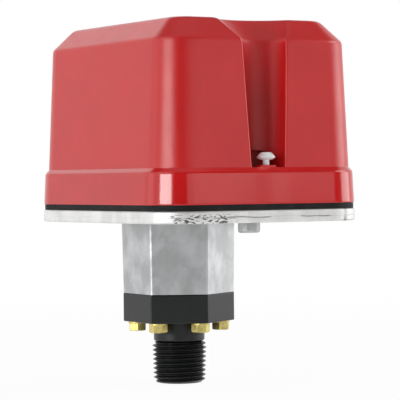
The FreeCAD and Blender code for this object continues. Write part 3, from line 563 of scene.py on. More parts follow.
def cover_skin(size, grow, hole_angles=None):
    """One skin of the cover, `grow` inside its outer face: grids, the rim's row and the screw hole's angles.

    It is the walls with the bevel, the flange, the flat top and, at each end, the back of the pocket and the
    floor of the channel. Inside, the flange has a groove round the screw's axis for the retaining ring.
    """
    outline = CoverOutline(size, grow)
    stations = wall_stations(size, grow)
    outline.set_arc(stations[0, 0], stations[0, 3], stations[0, 4])
    path = eased_path(stations, (size.shoulder_round, size.crown_round), steps=7)

    starts = arch_heights(outline, stations, size, grow)
    share = np.concatenate([[0, 0.006], np.linspace(0.03, 0.97, 15), [1]])[:, None]
    wall = stations[0] + (path[1] - stations[0]) * share
    arc_heights = starts + (path[1, 1] - starts) * share
    arc_wall = stations[0] + (arc_heights - stations[0, 1])[..., None] * wall_slope(stations)
    level = np.concatenate([wall, path[2:]])
    arc_upper = np.broadcast_to(path[2:, None], (len(path) - 2, len(starts), stations.shape[1]))
    arc_level = np.concatenate([arc_wall, arc_upper])
    end = outline.end(level, arc_level)
    end_heights = np.repeat(level[:, 1:2], end.shape[1], axis=1)
    end_heights[:, outline.arc_columns] = arc_level[..., 1]
    side_heights = np.repeat(level[:, 1:2], len(outline.side), axis=1)
    all_heights = np.hstack([end_heights, side_heights, end_heights, side_heights])
    grids = [Grid(raised(outline.loop(end), all_heights), round_columns=True)]

    foot = end[0, outline.channel_columns]
    flange = flange_rows(size, grow)
    plain = outline.plain_end(flange, foot[-1, 1])
    if grow:
        room = size.post_bore + RING_ROOM
        reach = np.sqrt(np.maximum(room ** 2 - plain[..., 1] ** 2, 0.0))
        grooved = np.maximum(plain[..., 0], outline.axis + reach)
        plain[..., 0] = np.where(reach > 0, grooved, plain[..., 0])
    flange_points = raised(outline.loop(plain), flange[:, 1:2])
    grids.append(Grid(flange_points, round_columns=True))

    across = end[-1][:, None] * np.stack([1 - 2 * outline.side, np.ones_like(outline.side)], axis=-1)
    grids.append(Grid(raised(across, level[-1, 1])))

    z_floor = stations[0, 1]
    foot_heights = end_heights[0, outline.channel_columns]
    deep = foot.copy()
    in_pocket = np.pad(outline.in_pocket, len(outline.mouth))
    deep[in_pocket, 0] = outline.axis - size.pocket_depth - grow
    pocket = np.stack([foot, deep, deep])
    pocket_heights = np.stack([foot_heights, foot_heights, np.full(len(foot), z_floor)])
    middle = [outline.axis, 0]
    ring = np.concatenate([deep, plain[-1, outline.channel_columns][::-1]]) - middle
    annulus, heights, hole_angles = channel_floor(size, ring, z_floor, hole_angles)
    annulus = annulus + middle
    for facing in (1, -1):
        grids.append(Grid(raised(pocket * facing, pocket_heights)))
        grids.append(Grid(raised(annulus * facing, heights), round_columns=True))
    return grids, flange_points[0], hole_angles


def cover_shell(size):
    """The closed moulding: outer skin, inner skin and the rim between them."""
    outer, outer_rim, hole_angles = cover_skin(size, 0.0)
    inner, inner_rim, _ = cover_skin(size, size.wall, hole_angles)
    return outer + inner + [Grid(np.stack([inner_rim, outer_rim]), round_columns=True)]


def screw_posts(size):
    """Closed posts under the screw holes, each turned about its screw's axis.

    The outer radius is the smaller of a circle and a straight cut, whose distance is the room to the flange
    over the cosine of the angle.
    """
    overlap = 0.3 * MM
    steepest = 1e-3
    (z_ledge, _, _), _ = cover_levels(size)
    z_high = z_ledge - size.wall + overlap
    z_low = COVER_LOW.z
    z_room = z_low + size.post_room
    turn = round_angles(72)
    reach = size.screw_inset - size.wall / 2 - size.flange_draft
    outer = np.minimum(size.post_bore + size.wall, reach / np.maximum(np.cos(turn), steepest))
    rows = [(outer, z_high), (outer, z_low), (size.post_bore, z_low), (size.post_bore, z_room),
            (size.hole_radius, z_room), (size.hole_radius, z_high)]
    grids = []
    for facing in (1, -1):
        ring = turned(rows, turn, screw_reach(size))
        ring[..., :2] = ring[..., :2] * facing + cover_middle()
        grids.append(Grid(ring, round_rows=True, round_columns=True))
    return grids


# Fitting and fasteners

def fitting_surface(size):
    """The fitting as one closed surface about the pressure axis.

    Every row is a height and a radius round the axis: a circle in the port, chamber and collar, a rounded
    hexagon on the flange, and on the thread a crest radius that tapers, less a depth that goes up and down
    once for each pitch of height plus turn.
    """
    apothem = size.across_flats / 2
    turn = hexagon_angles(144, apothem, size.corner_round)
    chamfer, neck_step = 0.5 * MM, 0.5 * MM
    neck_round, neck_edge, above, below = 0.8 * MM, 0.4 * MM, 1.2 * MM, 1.6 * MM
    z_top = FITTING_HIGH.z
    z_seat = z_top - size.seat_depth
    z_chamber = z_seat - size.chamber_depth
    z_collar = size.thread_length
    z_flange = z_collar + size.collar_height
    rows = [(size.port_radius, chamfer), (size.port_radius, z_chamber), (size.chamber_radius, z_chamber),
            (size.chamber_radius, z_seat), (size.seat_radius, z_seat), (size.seat_radius, z_top)]
    edge = size.edge_round
    corners = np.array([[4 * edge, z_top], [0, z_top], [0, z_flange], [4 * edge, z_flange]])
    side = eased_path(corners, (edge, edge))
    rows += [(hexagon(turn, apothem - inset, size.corner_round), z) for inset, z in side]
    collar = size.collar_radius
    neck = np.array([[collar + above, z_flange], [collar, z_flange], [collar, z_collar],
                     [collar - below, z_collar - neck_step]])
    rows += list(eased_path(neck, (neck_round, neck_edge)))
    rows += thread_rows(size, turn, z_collar)
    root = size.thread_end_radius - size.thread_depth
    rows += [(root - chamfer, 0.0), (size.port_radius + chamfer, 0.0)]
    return [Grid(turned(rows, turn), round_rows=True, round_columns=True)]


def thread_rows(size, turn, z_collar):
    """Rows of the tapered helical thread from the collar down, fading out at both ends.

    The phase is height over pitch less the share of a turn. A straight wave of it rises and falls once, and
    is cut off below and above to give flat roots and crests.
    """
    row_count = 190
    root_share, flank_share, end_share = 0.08, 0.80, 0.15
    top_gap, end_gap = 0.7 * MM, 0.15 * MM
    run_out = 0.9 * size.thread_pitch
    heights = np.linspace(z_collar - top_gap, end_gap, row_count)
    phase = (heights[:, None] / size.thread_pitch - turn / (2 * math.pi)) % 1
    wave = 1 - np.abs(2 * phase - 1)
    crest = np.clip((wave - root_share) / flank_share, 0, 1)
    fade = np.clip((z_collar - heights) / run_out, 0, 1) * np.clip(heights / run_out + end_share, 0, 1)
    outer = size.thread_end_radius + size.thread_taper * heights
    radii = outer[:, None] - size.thread_depth * (1 - crest * fade[:, None])
    return list(zip(radii, heights))


def flange_screw_surfaces(size, fitting):
    """Hexagon-headed screws, each one surface about its own axis: shank, washer face, hexagon and end.

    The end's chamfer is the smaller of the hexagon and a cone that opens upwards.
    """
    apothem = size.head_across / 2
    corner_round, soft, dimple, point = 0.25 * MM, 0.18 * MM, 0.12 * MM, 0.4 * MM
    point_share, cone_share, rim_share, dimple_share = 0.8, 0.93, 0.80, 0.70
    cone_slope = math.tan(math.radians(62))
    z_shank = FLANGE_SCREWS_HIGH.z
    z_face = fitting.thread_length + fitting.collar_height
    z_head = z_face - size.washer_height
    z_end = z_head - size.head_height
    shank, washer = size.shank_diameter / 2, size.washer_diameter / 2
    turn = hexagon_angles(72, apothem, corner_round)
    rows = [(0, z_shank), (shank * point_share, z_shank), (shank, z_shank - point), (shank, z_face)]
    inner = washer - 3 * soft
    collar = np.array([[inner, z_face], [washer, z_face], [washer, z_head], [inner, z_head]])
    rows += list(eased_path(collar, (soft, soft), steps=3, lead=0.05 * MM))
    hexes = hexagon(turn, apothem, corner_round)
    heights = z_head - np.linspace(0, 1, 18) * size.head_height
    cone = apothem * cone_share + (heights - z_end) * cone_slope
    rows += [(np.minimum(hexes, limit), z) for limit, z in zip(cone, heights)]
    rows += [(apothem * rim_share, z_end), (apothem * dimple_share, z_end + dimple), (0, z_end + dimple)]
    circle = fitting.across_flats / 2 / math.cos(math.pi / 6) - size.circle_inset
    grids = []
    for k, degrees in enumerate(HEAD_TURNS):
        place, twist = math.radians(60 * k), math.radians(degrees)
        middle = [circle * math.cos(place), circle * math.sin(place)]
        spin = np.array([[math.cos(twist), math.sin(twist)], [-math.sin(twist), math.cos(twist)]])
        points = turned(rows, turn)
        points[..., :2] = points[..., :2] @ spin + middle
        grids.append(Grid(points, round_columns=True))
    return grids


def cover_screw_surface(size, low, high):
    """A captive cover screw about its axis: threaded shank, brim, dome, and a hexagon socket with a pin.

    The thread's radius goes up and down once for each pitch of height plus turn, as on the fitting.
    """
    turn = round_angles(96)
    thread_depth, chamfer, socket_round = 0.22 * MM, 0.12 * MM, 0.05 * MM
    point, gap, neck, slope, ring = 0.5 * MM, 0.05 * MM, 0.4 * MM, 1.2 * MM, 0.3 * MM
    pin_end, pin_chamfer = 0.2 * MM, 0.15 * MM
    point_share, shoulder_share, crown_share, pin_share = 0.55, 0.55, 0.72, 0.7
    z_top = high.z + size.backed_out
    z_brim = z_top - size.dome_height
    z_head = z_brim - size.brim_height
    shank, brim, dome = size.cover_shank / 2, size.brim_diameter / 2, size.dome_diameter / 2
    rows = [(0, low.z), (shank * point_share, low.z)]
    heights = np.linspace(low.z + point, z_head - gap, 320)
    phase = (heights[:, None] / size.cover_pitch - turn / (2 * math.pi)) % 1
    depth = thread_depth * np.clip(np.abs(2 * phase - 1) * 1.2 - 0.1, 0, 1)
    rows += list(zip(shank - depth, heights))
    apothem = size.socket_across / 2
    head = np.array([[shank + neck, z_head], [brim - slope, z_head], [brim, z_brim - gap],
                     [dome, z_brim + shoulder_share * size.dome_height], [crown_share * dome, z_top],
                     [apothem + ring, z_top]])
    cuts = (0.15 * MM, 0.20 * MM, 0.30 * MM, 0.45 * MM)
    rows += list(eased_path(head, cuts, steps=4, lead=0.03 * MM))
    z_floor = z_top - size.socket_depth
    socket = hexagon(turn, apothem, socket_round)
    rows += [(socket + chamfer, z_top), (socket, z_top - chamfer), (socket, z_floor)]
    pin = size.socket_pin / 2
    z_pin = z_top - pin_end
    rows += [(pin, z_floor), (pin, z_pin - pin_chamfer), (pin_share * pin, z_pin), (0, z_pin)]
    x, y = (low.x + high.x) / 2, (low.y + high.y) / 2
    return [Grid(turned(rows, turn, x, y), round_columns=True)]


def spring_parts(size):
    """The range spring's wire below and above its cut: a circle carried along a rising helix.

    The wire's centre turns about the upright axis and rises evenly; the circle stands across its path, and
    each part is closed by flat ends.
    """
    wire = size.spring_wire / 2
    radius = SPRING_HIGH.x - wire
    turn = np.linspace(0, 2 * math.pi * size.spring_turns, 201)
    height = np.linspace(SPRING_LOW.z + wire, SPRING_HIGH.z - wire, len(turn))
    outward = np.stack([np.cos(turn), np.sin(turn), np.zeros_like(turn)], axis=-1)
    centre = radius * outward + height[:, None] * [0, 0, 1]
    along = np.gradient(centre, axis=0)
    upward = np.cross(outward, along / np.linalg.norm(along, axis=1, keepdims=True))
    spin = round_angles(18)[:, None]
    ring = np.cos(spin) * outward[:, None] + np.sin(spin) * upward[:, None]
    tube = centre[:, None] + wire * ring
    middle = np.broadcast_to(centre[:, None], tube.shape)
    cut = round(SPRING_CUT * (len(turn) - 1))
    parts = []
    for first, last in ((0, cut), (cut, len(turn) - 1)):
        rows = [middle[first:first + 1], tube[first:last + 1], middle[last:last + 1]]
        parts.append(Grid(np.concatenate(rows), round_columns=True))
    return parts


# Finishes

class NodeSheet:
    """Short calls that build the nodes of one material, or of the world, on Object coordinates."""

    def __init__(self, name, world=None):
        self.owner = world or bpy.data.materials.new(name)
        self.owner.use_nodes = True
        self.tree = self.owner.node_tree
        self.tree.nodes.clear()
        self.place = self.add("ShaderNodeTexCoord").outputs["Object"]

    def add(self, kind, inputs=None, **settings):
        """A node with its settings, and its inputs set or linked."""
        node = self.tree.nodes.new(kind)
        for name, value in settings.items():
            setattr(node, name, value)
        for socket, value in (inputs or {}).items():
            if isinstance(value, bpy.types.NodeSocket):
                self.tree.links.new(value, node.inputs[socket])
            else:
                node.inputs[socket].default_value = value
        return node

    def noise(self, size, detail=3.0, stretch=None):
        """Noise whose features are about `size` metres across, from 0 to 1."""
        place = self.place
        if stretch is not None:
            place = self.add("ShaderNodeMapping", {"Vector": place, "Scale": stretch}).outputs["Vector"]
        inputs = {"Vector": place, "Scale": 1.0 / size, "Detail": detail}
        return self.add("ShaderNodeTexNoise", inputs).outputs["Fac"]

    def spread(self, value, low, high, to_low=0.0, to_high=1.0):
        """A value's range mapped onto another, smoothly."""
        inputs = {"Value": value, "From Min": low, "From Max": high, "To Min": to_low, "To Max": to_high}
        return self.add("ShaderNodeMapRange", inputs, interpolation_type="SMOOTHSTEP").outputs["Result"]

    def fade(self, value, low, high):
        """1 up to `low`, falling smoothly to 0 at `high`."""
        return self.spread(value, low, high, 1.0, 0.0)

    def between(self, mask, first, second):
        """From one number to another, as a mask goes from 0 to 1."""
        return self.spread(mask, 0.0, 1.0, first, second)

    def sum(self, first, second, operation="ADD"):
        """Two values put together."""
        return self.add("ShaderNodeMath", {0: first, 1: second}, operation=operation).outputs[0]

    def times(self, first, second):
        """One value times another."""
        return self.sum(first, second, "MULTIPLY")

    def absolute(self, value):
        """A value without its sign."""
        return self.add("ShaderNodeMath", {0: value}, operation="ABSOLUTE").outputs[0]

    def mix(self, factor, first, second):
        """Two colours mixed by a factor."""
        inputs = {0: factor, 6: first, 7: second}
        return self.add("ShaderNodeMix", inputs, data_type="RGBA").outputs[2]

    def tint(self, mask, base, first, second):
        """A colour `first` times as bright where a mask is 0, and `second` times where it is 1."""
        return self.mix(mask, shade(base, first), shade(base, second))

    def axis(self, name):
        """One coordinate of the point."""
        return self.add("ShaderNodeSeparateXYZ", {0: self.place}).outputs[name]

    def bump(self, height, strength, distance):
        """A surface relief."""
        inputs = {"Height": height, "Strength": strength, "Distance": distance}
        return self.add("ShaderNodeBump", inputs).outputs["Normal"]

    def show(self, shader, output="ShaderNodeOutputMaterial"):
        """The output that shows a shader. Gives back the material or the world."""
        self.add(output, {"Surface": shader.outputs[0]})
        return self.owner

    def finish(self, **sockets):
        """The shader and its output. Socket names have underscores for spaces."""
        inputs = {name.replace("_", " "): value for name, value in sockets.items()}
        return self.show(self.add("ShaderNodeBsdfPrincipled", inputs))


def shade(colour_value, factor):
    """A colour made lighter or darker, with its alpha."""
    return (*[min(1.0, channel * factor) for channel in colour_value], 1.0)


def in_channel(sheet, cover):
    """How deep a point lies in a screw channel, and a mask of the channel's low back, where shade is painted.

    The depth is 0 outside the channel's mouth and 1 at its back.
    """
    along = sheet.absolute(sheet.sum(sheet.axis("X"), float(cover_middle()[0]), "SUBTRACT"))
    across = sheet.absolute(sheet.axis("Y"))
    axis = screw_reach(cover)
    deep = sheet.fade(along, axis - 6 * MM, axis + 1 * MM)
    narrow = sheet.fade(across, 9 * MM, 11 * MM)
    low = sheet.fade(sheet.axis("Z"), COVER_HIGH.z - 34 * MM, COVER_HIGH.z - 8 * MM)
    # Mask of the channel's low back, where shade is painted.
    back = sheet.fade(along, axis - 8 * MM, axis - 2 * MM)
    return sheet.times(deep, narrow), sheet.times(sheet.times(back, narrow), low)


def red_moulding(colours, cover):
    """Moulded red plastic: spark-eroded grain on the walls, smoother and glossier on the flange.

    The hollow of a screw channel is rougher, and its low back is painted darker as shade.
    """
    sheet = NodeSheet("red_moulding")
    (z_ledge, _, _), _ = cover_levels(cover)
    on_walls = sheet.spread(sheet.axis("Z"), z_ledge - 0.2 * MM, z_ledge + 0.2 * MM)
    cloud = sheet.noise(22 * MM, 2.0)
    grain = sheet.noise(0.55 * MM, 2.0)
    tone = sheet.tint(sheet.spread(cloud, 0.3, 0.7), colours.red, 0.95, 1.04)
    speck = sheet.times(sheet.spread(grain, 0.35, 0.75), on_walls)
    tone = sheet.mix(sheet.times(speck, 0.15), tone, shade(colours.red, 1.14))
    hollow, painted_shade_back = in_channel(sheet, cover)
    # Painted shade: the channel's low back is darkened where shade falls in the hollow.
    tone = sheet.mix(painted_shade_back, tone, shade(colours.red, 0.66))
    rough = sheet.between(on_walls, 0.14, 0.315)
    rough = sheet.sum(rough, sheet.spread(sheet.noise(6 * MM), 0.2, 0.8, -0.02, 0.03))
    rough = sheet.sum(rough, sheet.between(hollow, 0.0, 0.15))
    relief = sheet.times(grain, sheet.between(on_walls, 0.10, 1.0))
    normal = sheet.bump(relief, 0.20, 0.03 * MM)
    return sheet.finish(Base_Color=tone, Roughness=rough, Specular_IOR_Level=0.55, IOR=1.53, Normal=normal)


def gasket_rubber(colours):
    """Dark sheet rubber with a faint bloom and a cut edge."""
    sheet = NodeSheet("gasket_rubber")
    tone = sheet.tint(sheet.spread(sheet.noise(5 * MM, 4.0), 0.45, 0.8), colours.gasket, 0.9, 1.9)
    streak = sheet.noise(1.2 * MM, 3.0, stretch=(0.4, 0.4, 4.0))
    rough = sheet.spread(streak, 0.2, 0.8, 0.55, 0.78)
    normal = sheet.bump(streak, 0.3, 0.1 * MM)
    return sheet.finish(Base_Color=tone, Roughness=rough, Normal=normal, Specular_IOR_Level=0.2)


def cast_alloy(colours):
    """Die-cast alloy: satin skin with soft smudges, and a paler, rougher trimmed plate.

    The plate has a wandering parting line, strongest at its +X end. That end has flecks where it was cut off,
    and one dark spot.
    """
    sheet = NodeSheet("cast_alloy")
    smudge = sheet.noise(9 * MM, 5.0, stretch=(1.0, 1.0, 0.7))
    stain = sheet.noise(3.2 * MM, 4.0)
    grain = sheet.noise(0.8 * MM, 4.0)
    stained = sheet.spread(stain, 0.45, 0.75, 0.0, 0.35)
    cloud = sheet.sum(sheet.spread(smudge, 0.34, 0.68), stained, "SUBTRACT")
    thick = PLATE_THICKNESS
    z_low = BASE_HIGH.z - thick
    on_plate = sheet.spread(sheet.axis("Z"), z_low - 0.2 * MM, z_low + 0.3 * MM)
    skin = sheet.tint(cloud, colours.casting, 0.80, 1.08)
    tone = sheet.mix(on_plate, skin, sheet.tint(cloud, colours.trimmed, 0.90, 1.05))
    rough = sheet.sum(sheet.spread(smudge, 0.3, 0.75, 0.45, 0.32), sheet.spread(grain, 0.3, 0.7, -0.03, 0.05))

    at_end = sheet.spread(sheet.axis("X"), BASE_HIGH.x - 8 * MM, BASE_HIGH.x - 4 * MM)
    wander = sheet.spread(sheet.noise(14 * MM, 3.0), 0.2, 0.8, -0.4 * MM, 0.4 * MM)
    height = sheet.sum(sheet.sum(sheet.axis("Z"), wander), BASE_HIGH.z - 0.52 * thick, "SUBTRACT")
    line = sheet.fade(sheet.absolute(height), 0.05 * MM, 0.36 * MM)
    line = sheet.times(line, sheet.spread(sheet.noise(8 * MM, 3.0), 0.42, 0.62, 0.1, 0.8))
    line = sheet.times(line, sheet.between(at_end, 0.12, 1.0))

    near = sheet.fade(sheet.axis("Y"), -22 * MM, -14 * MM)
    chips = sheet.spread(sheet.noise(1.0 * MM, 7.0, stretch=(0.6, 0.6, 1.8)), 0.50, 0.57)
    low = sheet.fade(sheet.axis("Z"), BASE_HIGH.z - 0.45 * thick, BASE_HIGH.z - 0.15 * thick)
    flecks = sheet.times(sheet.times(chips, near), sheet.times(at_end, low))
    spot = sheet.spread(sheet.sum(sheet.axis("Y"), 33 * MM, "SUBTRACT"), -1.0 * MM, 0.4 * MM)
    spot = sheet.times(spot, sheet.fade(sheet.axis("Y"), 33.6 * MM, 35 * MM))
    spot = sheet.times(sheet.times(spot, at_end), sheet.spread(stain, 0.3, 0.6, 0.2, 0.9))
    flecks = sheet.sum(sheet.sum(flecks, spot, "MAXIMUM"), line, "MAXIMUM")
    flecks = sheet.times(flecks, on_plate)
    tone = sheet.mix(sheet.times(flecks, 0.92), tone, shade(colours.casting, 0.08))
    relief = sheet.sum(sheet.times(smudge, 0.6), sheet.times(grain, 0.22))
    relief = sheet.sum(relief, sheet.times(flecks, 0.5), "SUBTRACT")
    normal = sheet.bump(relief, 0.30, 0.25 * MM)
    metal = sheet.between(on_plate, 1.0, 0.72)
    rough = sheet.sum(rough, sheet.between(on_plate, 0.0, 0.08))
    return sheet.finish(Base_Color=tone, Metallic=metal, Roughness=rough, Normal=normal)


def plain_finish(name, base, metallic, rough, grain, relief, variation=0.12, specular=0.5):
    """A finish with cloudy tone, uneven gloss and a fine relief of the given grain size."""
    sheet = NodeSheet(name)
    cloud = sheet.noise(9 * MM, 3.0)
    fine = sheet.noise(grain, 3.0)
    tone = sheet.tint(sheet.spread(cloud, 0.3, 0.7), base, 1 - variation, 1 + variation)
    gloss = sheet.sum(sheet.spread(fine, 0.25, 0.75, rough - 0.05, rough + 0.06),
                      sheet.spread(cloud, 0.3, 0.7, -0.03, 0.03))
    normal = sheet.bump(fine, 0.3, relief)
    return sheet.finish(Base_Color=tone, Metallic=metallic, Roughness=gloss, Specular_IOR_Level=specular,
                        Normal=normal)


def turned_finish(name, base, rough, metallic=1.0):
    """Bright machined metal with faint level tool marks and a few darker spots of tarnish."""
    sheet = NodeSheet(name)
    marks = sheet.noise(0.25 * MM, 2.0, stretch=(0.15, 0.15, 1.0))
    spots = sheet.noise(2.5 * MM, 4.0)
    tone = sheet.tint(sheet.spread(spots, 0.52, 0.72), base, 1.05, 0.72)
    gloss = sheet.sum(sheet.spread(marks, 0.2, 0.8, rough - 0.05, rough + 0.07),
                      sheet.spread(spots, 0.45, 0.75, 0.0, 0.08))
    normal = sheet.bump(marks, 0.25, 0.03 * MM)
    return sheet.finish(Base_Color=tone, Metallic=metallic, Roughness=gloss, Normal=normal)


def finishes():
    """Every finish by the name of its slot, made once.

    A plain finish has a colour, then metallic, roughness, grain and relief. Some have their own variation.
    """
    if FINISHES:
        return FINISHES
    scene = bpy.context.scene
    colours = scene.finish_colours
    FINISHES.update({
        "cover_red": red_moulding(colours, scene.cover_sizes),
        "gasket_rubber": gasket_rubber(colours),
        "cast_metal": cast_alloy(colours),
        "fitting_plastic": plain_finish("fitting_plastic", colours.fitting, 0.0, 0.33, 0.5 * MM, 0.05 * MM,
                                        specular=0.38),
        "diaphragm_rubber": plain_finish("diaphragm_rubber", colours.gasket, 0.0, 0.6, 0.4 * MM, 0.05 * MM),
        "brass": turned_finish("brass", colours.brass, 0.35),
        "steel": turned_finish("bright_steel", colours.steel, 0.14, 0.15),
        "plated_steel": plain_finish("plated_steel", colours.zinc, 1.0, 0.30, 0.6 * MM, 0.03 * MM),
        "ground_green": plain_finish("earth_green", colours.earth, 0.0, 0.35, 0.6 * MM, 0.03 * MM),
        "aluminium": turned_finish("aluminium", colours.aluminium, 0.32),
        "nylon": plain_finish("nylon", colours.nylon, 0.0, 0.42, 0.5 * MM, 0.03 * MM, 0.05),
        "insulator": plain_finish("insulator", colours.insulator, 0.0, 0.62, 0.35 * MM, 0.06 * MM, 0.15),
        "switch_plastic": plain_finish("switch_plastic", colours.switch, 0.0, 0.34, 0.5 * MM, 0.05 * MM),
        "plunger_plastic": plain_finish("plunger_plastic", colours.plunger, 0.0, 0.36, 0.5 * MM, 0.02 * MM,
                                        0.05),
    })
    return FINISHES


# Operators

class SWITCH_OT_cover(bpy.types.Operator):
    """Moulds the red cover with its screw channels and posts"""

    bl_idname = "switch.cover"
    bl_label = "Cover"

    def execute(self, context):
        size = context.scene.cover_sizes
        red = finishes()["cover_red"]
        piece("cover_shell", cover_shell(size), red, "cover", ("cover",))
        piece("cover_posts", screw_posts(size), red, "cover")
        return {"FINISHED"}


class SWITCH_OT_fitting(bpy.types.Operator):
    """Moulds the black fitting with its hexagon, port and helical pipe thread"""

    bl_idname = "switch.fitting"
    bl_label = "Pressure fitting"

    def execute(self, context):
        grids = fitting_surface(context.scene.fitting_sizes)
        piece("threaded_fitting", grids, finishes()["fitting_plastic"], "base",
              ("pressure_fitting",))
        return {"FINISHED"}


class SWITCH_OT_flange_screws(bpy.types.Operator):
    """Turns the six brass screws that hold the fitting"""

    bl_idname = "switch.flange_screws"
    bl_label = "Flange screws"

    def execute(self, context):
        scene = context.scene
        grids = flange_screw_surfaces(scene.fastener_sizes, scene.fitting_sizes)
        piece("hexagon_screws", grids, finishes()["brass"], "base", ("flange_screws",))
        return {"FINISHED"}


class SWITCH_OT_cover_screws(bpy.types.Operator):
    """Turns the two captive cover screws with their pinned sockets"""

    bl_idname = "switch.cover_screws"
    bl_label = "Cover screws"

    def execute(self, context):
        size = context.scene.fastener_sizes
        steel = finishes()["steel"]
        right = cover_screw_surface(size, RIGHT_SCREW_LOW, RIGHT_SCREW_HIGH)
        piece("captive_screw_right", right, steel, "screw_right", ("cover_screw_right",),
              SCREW_CREASE)
        left = cover_screw_surface(size, LEFT_SCREW_LOW, LEFT_SCREW_HIGH)
        piece("captive_screw_left", left, steel, "screw_left", ("cover_screw_left",),
              SCREW_CREASE)
        return {"FINISHED"}


class SWITCH_OT_range_spring(bpy.types.Operator):
    """Winds the range spring in two parts, below and above its cut"""

    bl_idname = "switch.range_spring"
    bl_label = "Range spring"

    def execute(self, context):
        lower, upper = spring_parts(context.scene.fastener_sizes)
        metal = finishes()["steel"]
        made = piece("range_spring_lower", [lower], metal, None, ("range_spring",), SPRING_CREASE)
        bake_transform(made)
        made = piece("range_spring_upper", [upper], metal, None, (), SPRING_CREASE)
        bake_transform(made)
        return {"FINISHED"}


class SWITCH_OT_carried_nodes(bpy.types.Operator):
    """Finishes the pieces whose solid shape is kept"""

    bl_idname = "switch.carried_nodes"
    bl_label = "Kept solids"

    def execute(self, context):
        made = finishes()
        slots = {part["node"]: part["material_slot"] for part in frame["record"]["subparts"]}
        for name, solid in NODES.items():
            if solid.hide_render:
                continue
            solid.data.materials.clear()
            solid.data.materials.append(made[slots[name]])
        return {"FINISHED"}


class SWITCH_OT_studio(bpy.types.Operator):
    """Sets up the floor, the grey cards, the soft lights, the room and the camera"""

    bl_idname = "switch.studio"
    bl_label = "Studio"

    def execute(self, context):
        scene = context.scene
        studio = scene.studio_settings
        scene.view_settings.view_transform = "Standard"
        room(studio)
        floor(studio)
        grey_cards(studio)
        soft_lights(studio)
        camera(studio)
        return {"FINISHED"}


# Studio

def camera_axes(studio):
    """Directions from the pressure axis: towards the camera, and to the picture's right."""
    a, e = studio.azimuth, studio.elevation
    back = Vector((math.sin(a) * math.cos(e), -math.cos(a) * math.cos(e), math.sin(e)))
    return back, Vector((math.cos(a), math.sin(a), 0.0))


def camera(studio):
    """The camera of the photograph's viewing angle."""
    back, right = camera_axes(studio)
    pivot = Vector((0.0, 0.0, studio.pivot_height))
    place = pivot + back * studio.distance
    aim = pivot + right * studio.aim_right + Vector((0.0, 0.0, studio.aim_up))
    ahead = (aim - place).normalized()
    across = ahead.cross(Vector((0.0, 0.0, 1.0))).normalized()
    turn = Matrix((across, across.cross(ahead), -ahead)).transposed()
    data = bpy.data.cameras.new("studio_camera")
    data.sensor_width = SENSOR_WIDTH
    data.lens = studio.lens
    data.clip_start = 0.01
    made = placed("studio_camera", data)
    made.matrix_world = Matrix.Translation(place) @ (turn @ Matrix.Rotation(studio.roll, 3, "Z")).to_4x4()
    bpy.context.scene.camera = made


def studio_direction(studio, turn, rise):
    """A direction `turn` degrees to the right of the camera, seen from the object, and `rise` degrees up."""
    bearing = studio.azimuth - math.pi / 2 + math.radians(turn)
    level = math.cos(math.radians(rise))
    return Vector((math.cos(bearing) * level, math.sin(bearing) * level, math.sin(math.radians(rise))))


def soft_light(studio, name, turn, rise, width, height, radiance):
    """A rectangular soft light that faces the object and shows only in what it lights."""
    data = bpy.data.lights.new(name, "AREA")
    data.shape = "RECTANGLE"
    data.size = width
    data.size_y = height
    data.energy = math.pi * width * height * radiance
    made = placed(name, data)
    ahead = studio_direction(studio, turn, rise)
    target = Vector((0.0, 0.0, studio.pivot_height))
    made.location = target + ahead * LIGHT_DISTANCE
    made.rotation_mode = "QUATERNION"
    made.rotation_quaternion = ahead.to_track_quat("Z", "Y")
    made.visible_camera = False


def soft_lights(studio):
    """Lights low, high and far on the left, four on the right, a wide one overhead and a lit sweep behind.

    Each row is a name, degrees to the right of the camera, degrees up, width, height and brightness.
    """
    rows = (("key_light", -45.0, 5.0, 0.71, 0.18, studio.key),
            ("left_light", -60.0, 40.0, 0.80, 0.50, studio.left),
            ("far_left_light", -90.0, 6.0, 0.44, 0.40, 0.5 * studio.left),
            ("side_light", 38.5, 8.0, 1.47, 0.22, studio.side),
            ("near_side_light", 43.0, 8.0, 0.90, 0.22, 0.4 * studio.side),
            ("rim_light", 103.0, 5.0, 0.80, 0.25, studio.rim),
            ("high_light", 96.0, 26.0, 0.80, 0.44, studio.high),
            ("top_light", 20.0, 80.0, 1.60, 1.60, studio.top),
            ("sweep_light", -150.0, 36.0, 0.80, 0.50, studio.sweep))
    for row in rows:
        soft_light(studio, *row)


def stage_sheet(name, points, material):
    """A flat sheet of the studio."""
    mesh = bpy.data.meshes.new(name)
    mesh.from_pydata([tuple(point) for point in points], [], [(0, 1, 2, 3)])
    mesh.materials.append(material)
    made = placed(name, mesh)
    return made


def level_square(half, height):
    """Corners of a level square round the pressure axis."""
    return [(-half, -half, height), (half, -half, height), (half, half, height), (-half, half, height)]


def floor(studio):
    """A wide pale floor: mostly plain white to the camera and in reflections, with a faint shadow.

    What the camera sees of the shadow fades out away from the object.
    """
    sheet = NodeSheet("studio_floor")
    path = sheet.add("ShaderNodeLightPath").outputs
    mottle = sheet.spread(sheet.noise(0.4, 2.0), 0.3, 0.7)
    matt = sheet.add("ShaderNodeBsdfDiffuse", {"Color": sheet.tint(mottle, studio.floor, 0.99, 1.01)})
    white = sheet.add("ShaderNodeEmission", {"Strength": 1.0})
    seen = sheet.sum(sheet.times(path["Is Camera Ray"], 1.0 - SHADOW_SHARE), path["Is Glossy Ray"])
    seen = sheet.sum(seen, path["Is Transmission Ray"])
    away = sheet.add("ShaderNodeVectorMath", {0: sheet.place}, operation="LENGTH").outputs["Value"]
    faded = sheet.spread(away, FADE_START, FADE_END, 0.0, SHADOW_SHARE)
    seen = sheet.sum(seen, sheet.times(path["Is Camera Ray"], faded))
    both = sheet.add("ShaderNodeMixShader", {0: seen, 1: matt.outputs[0], 2: white.outputs[0]})
    stage_sheet("studio_floor", level_square(FLOOR_HALF, 0.0), sheet.show(both))


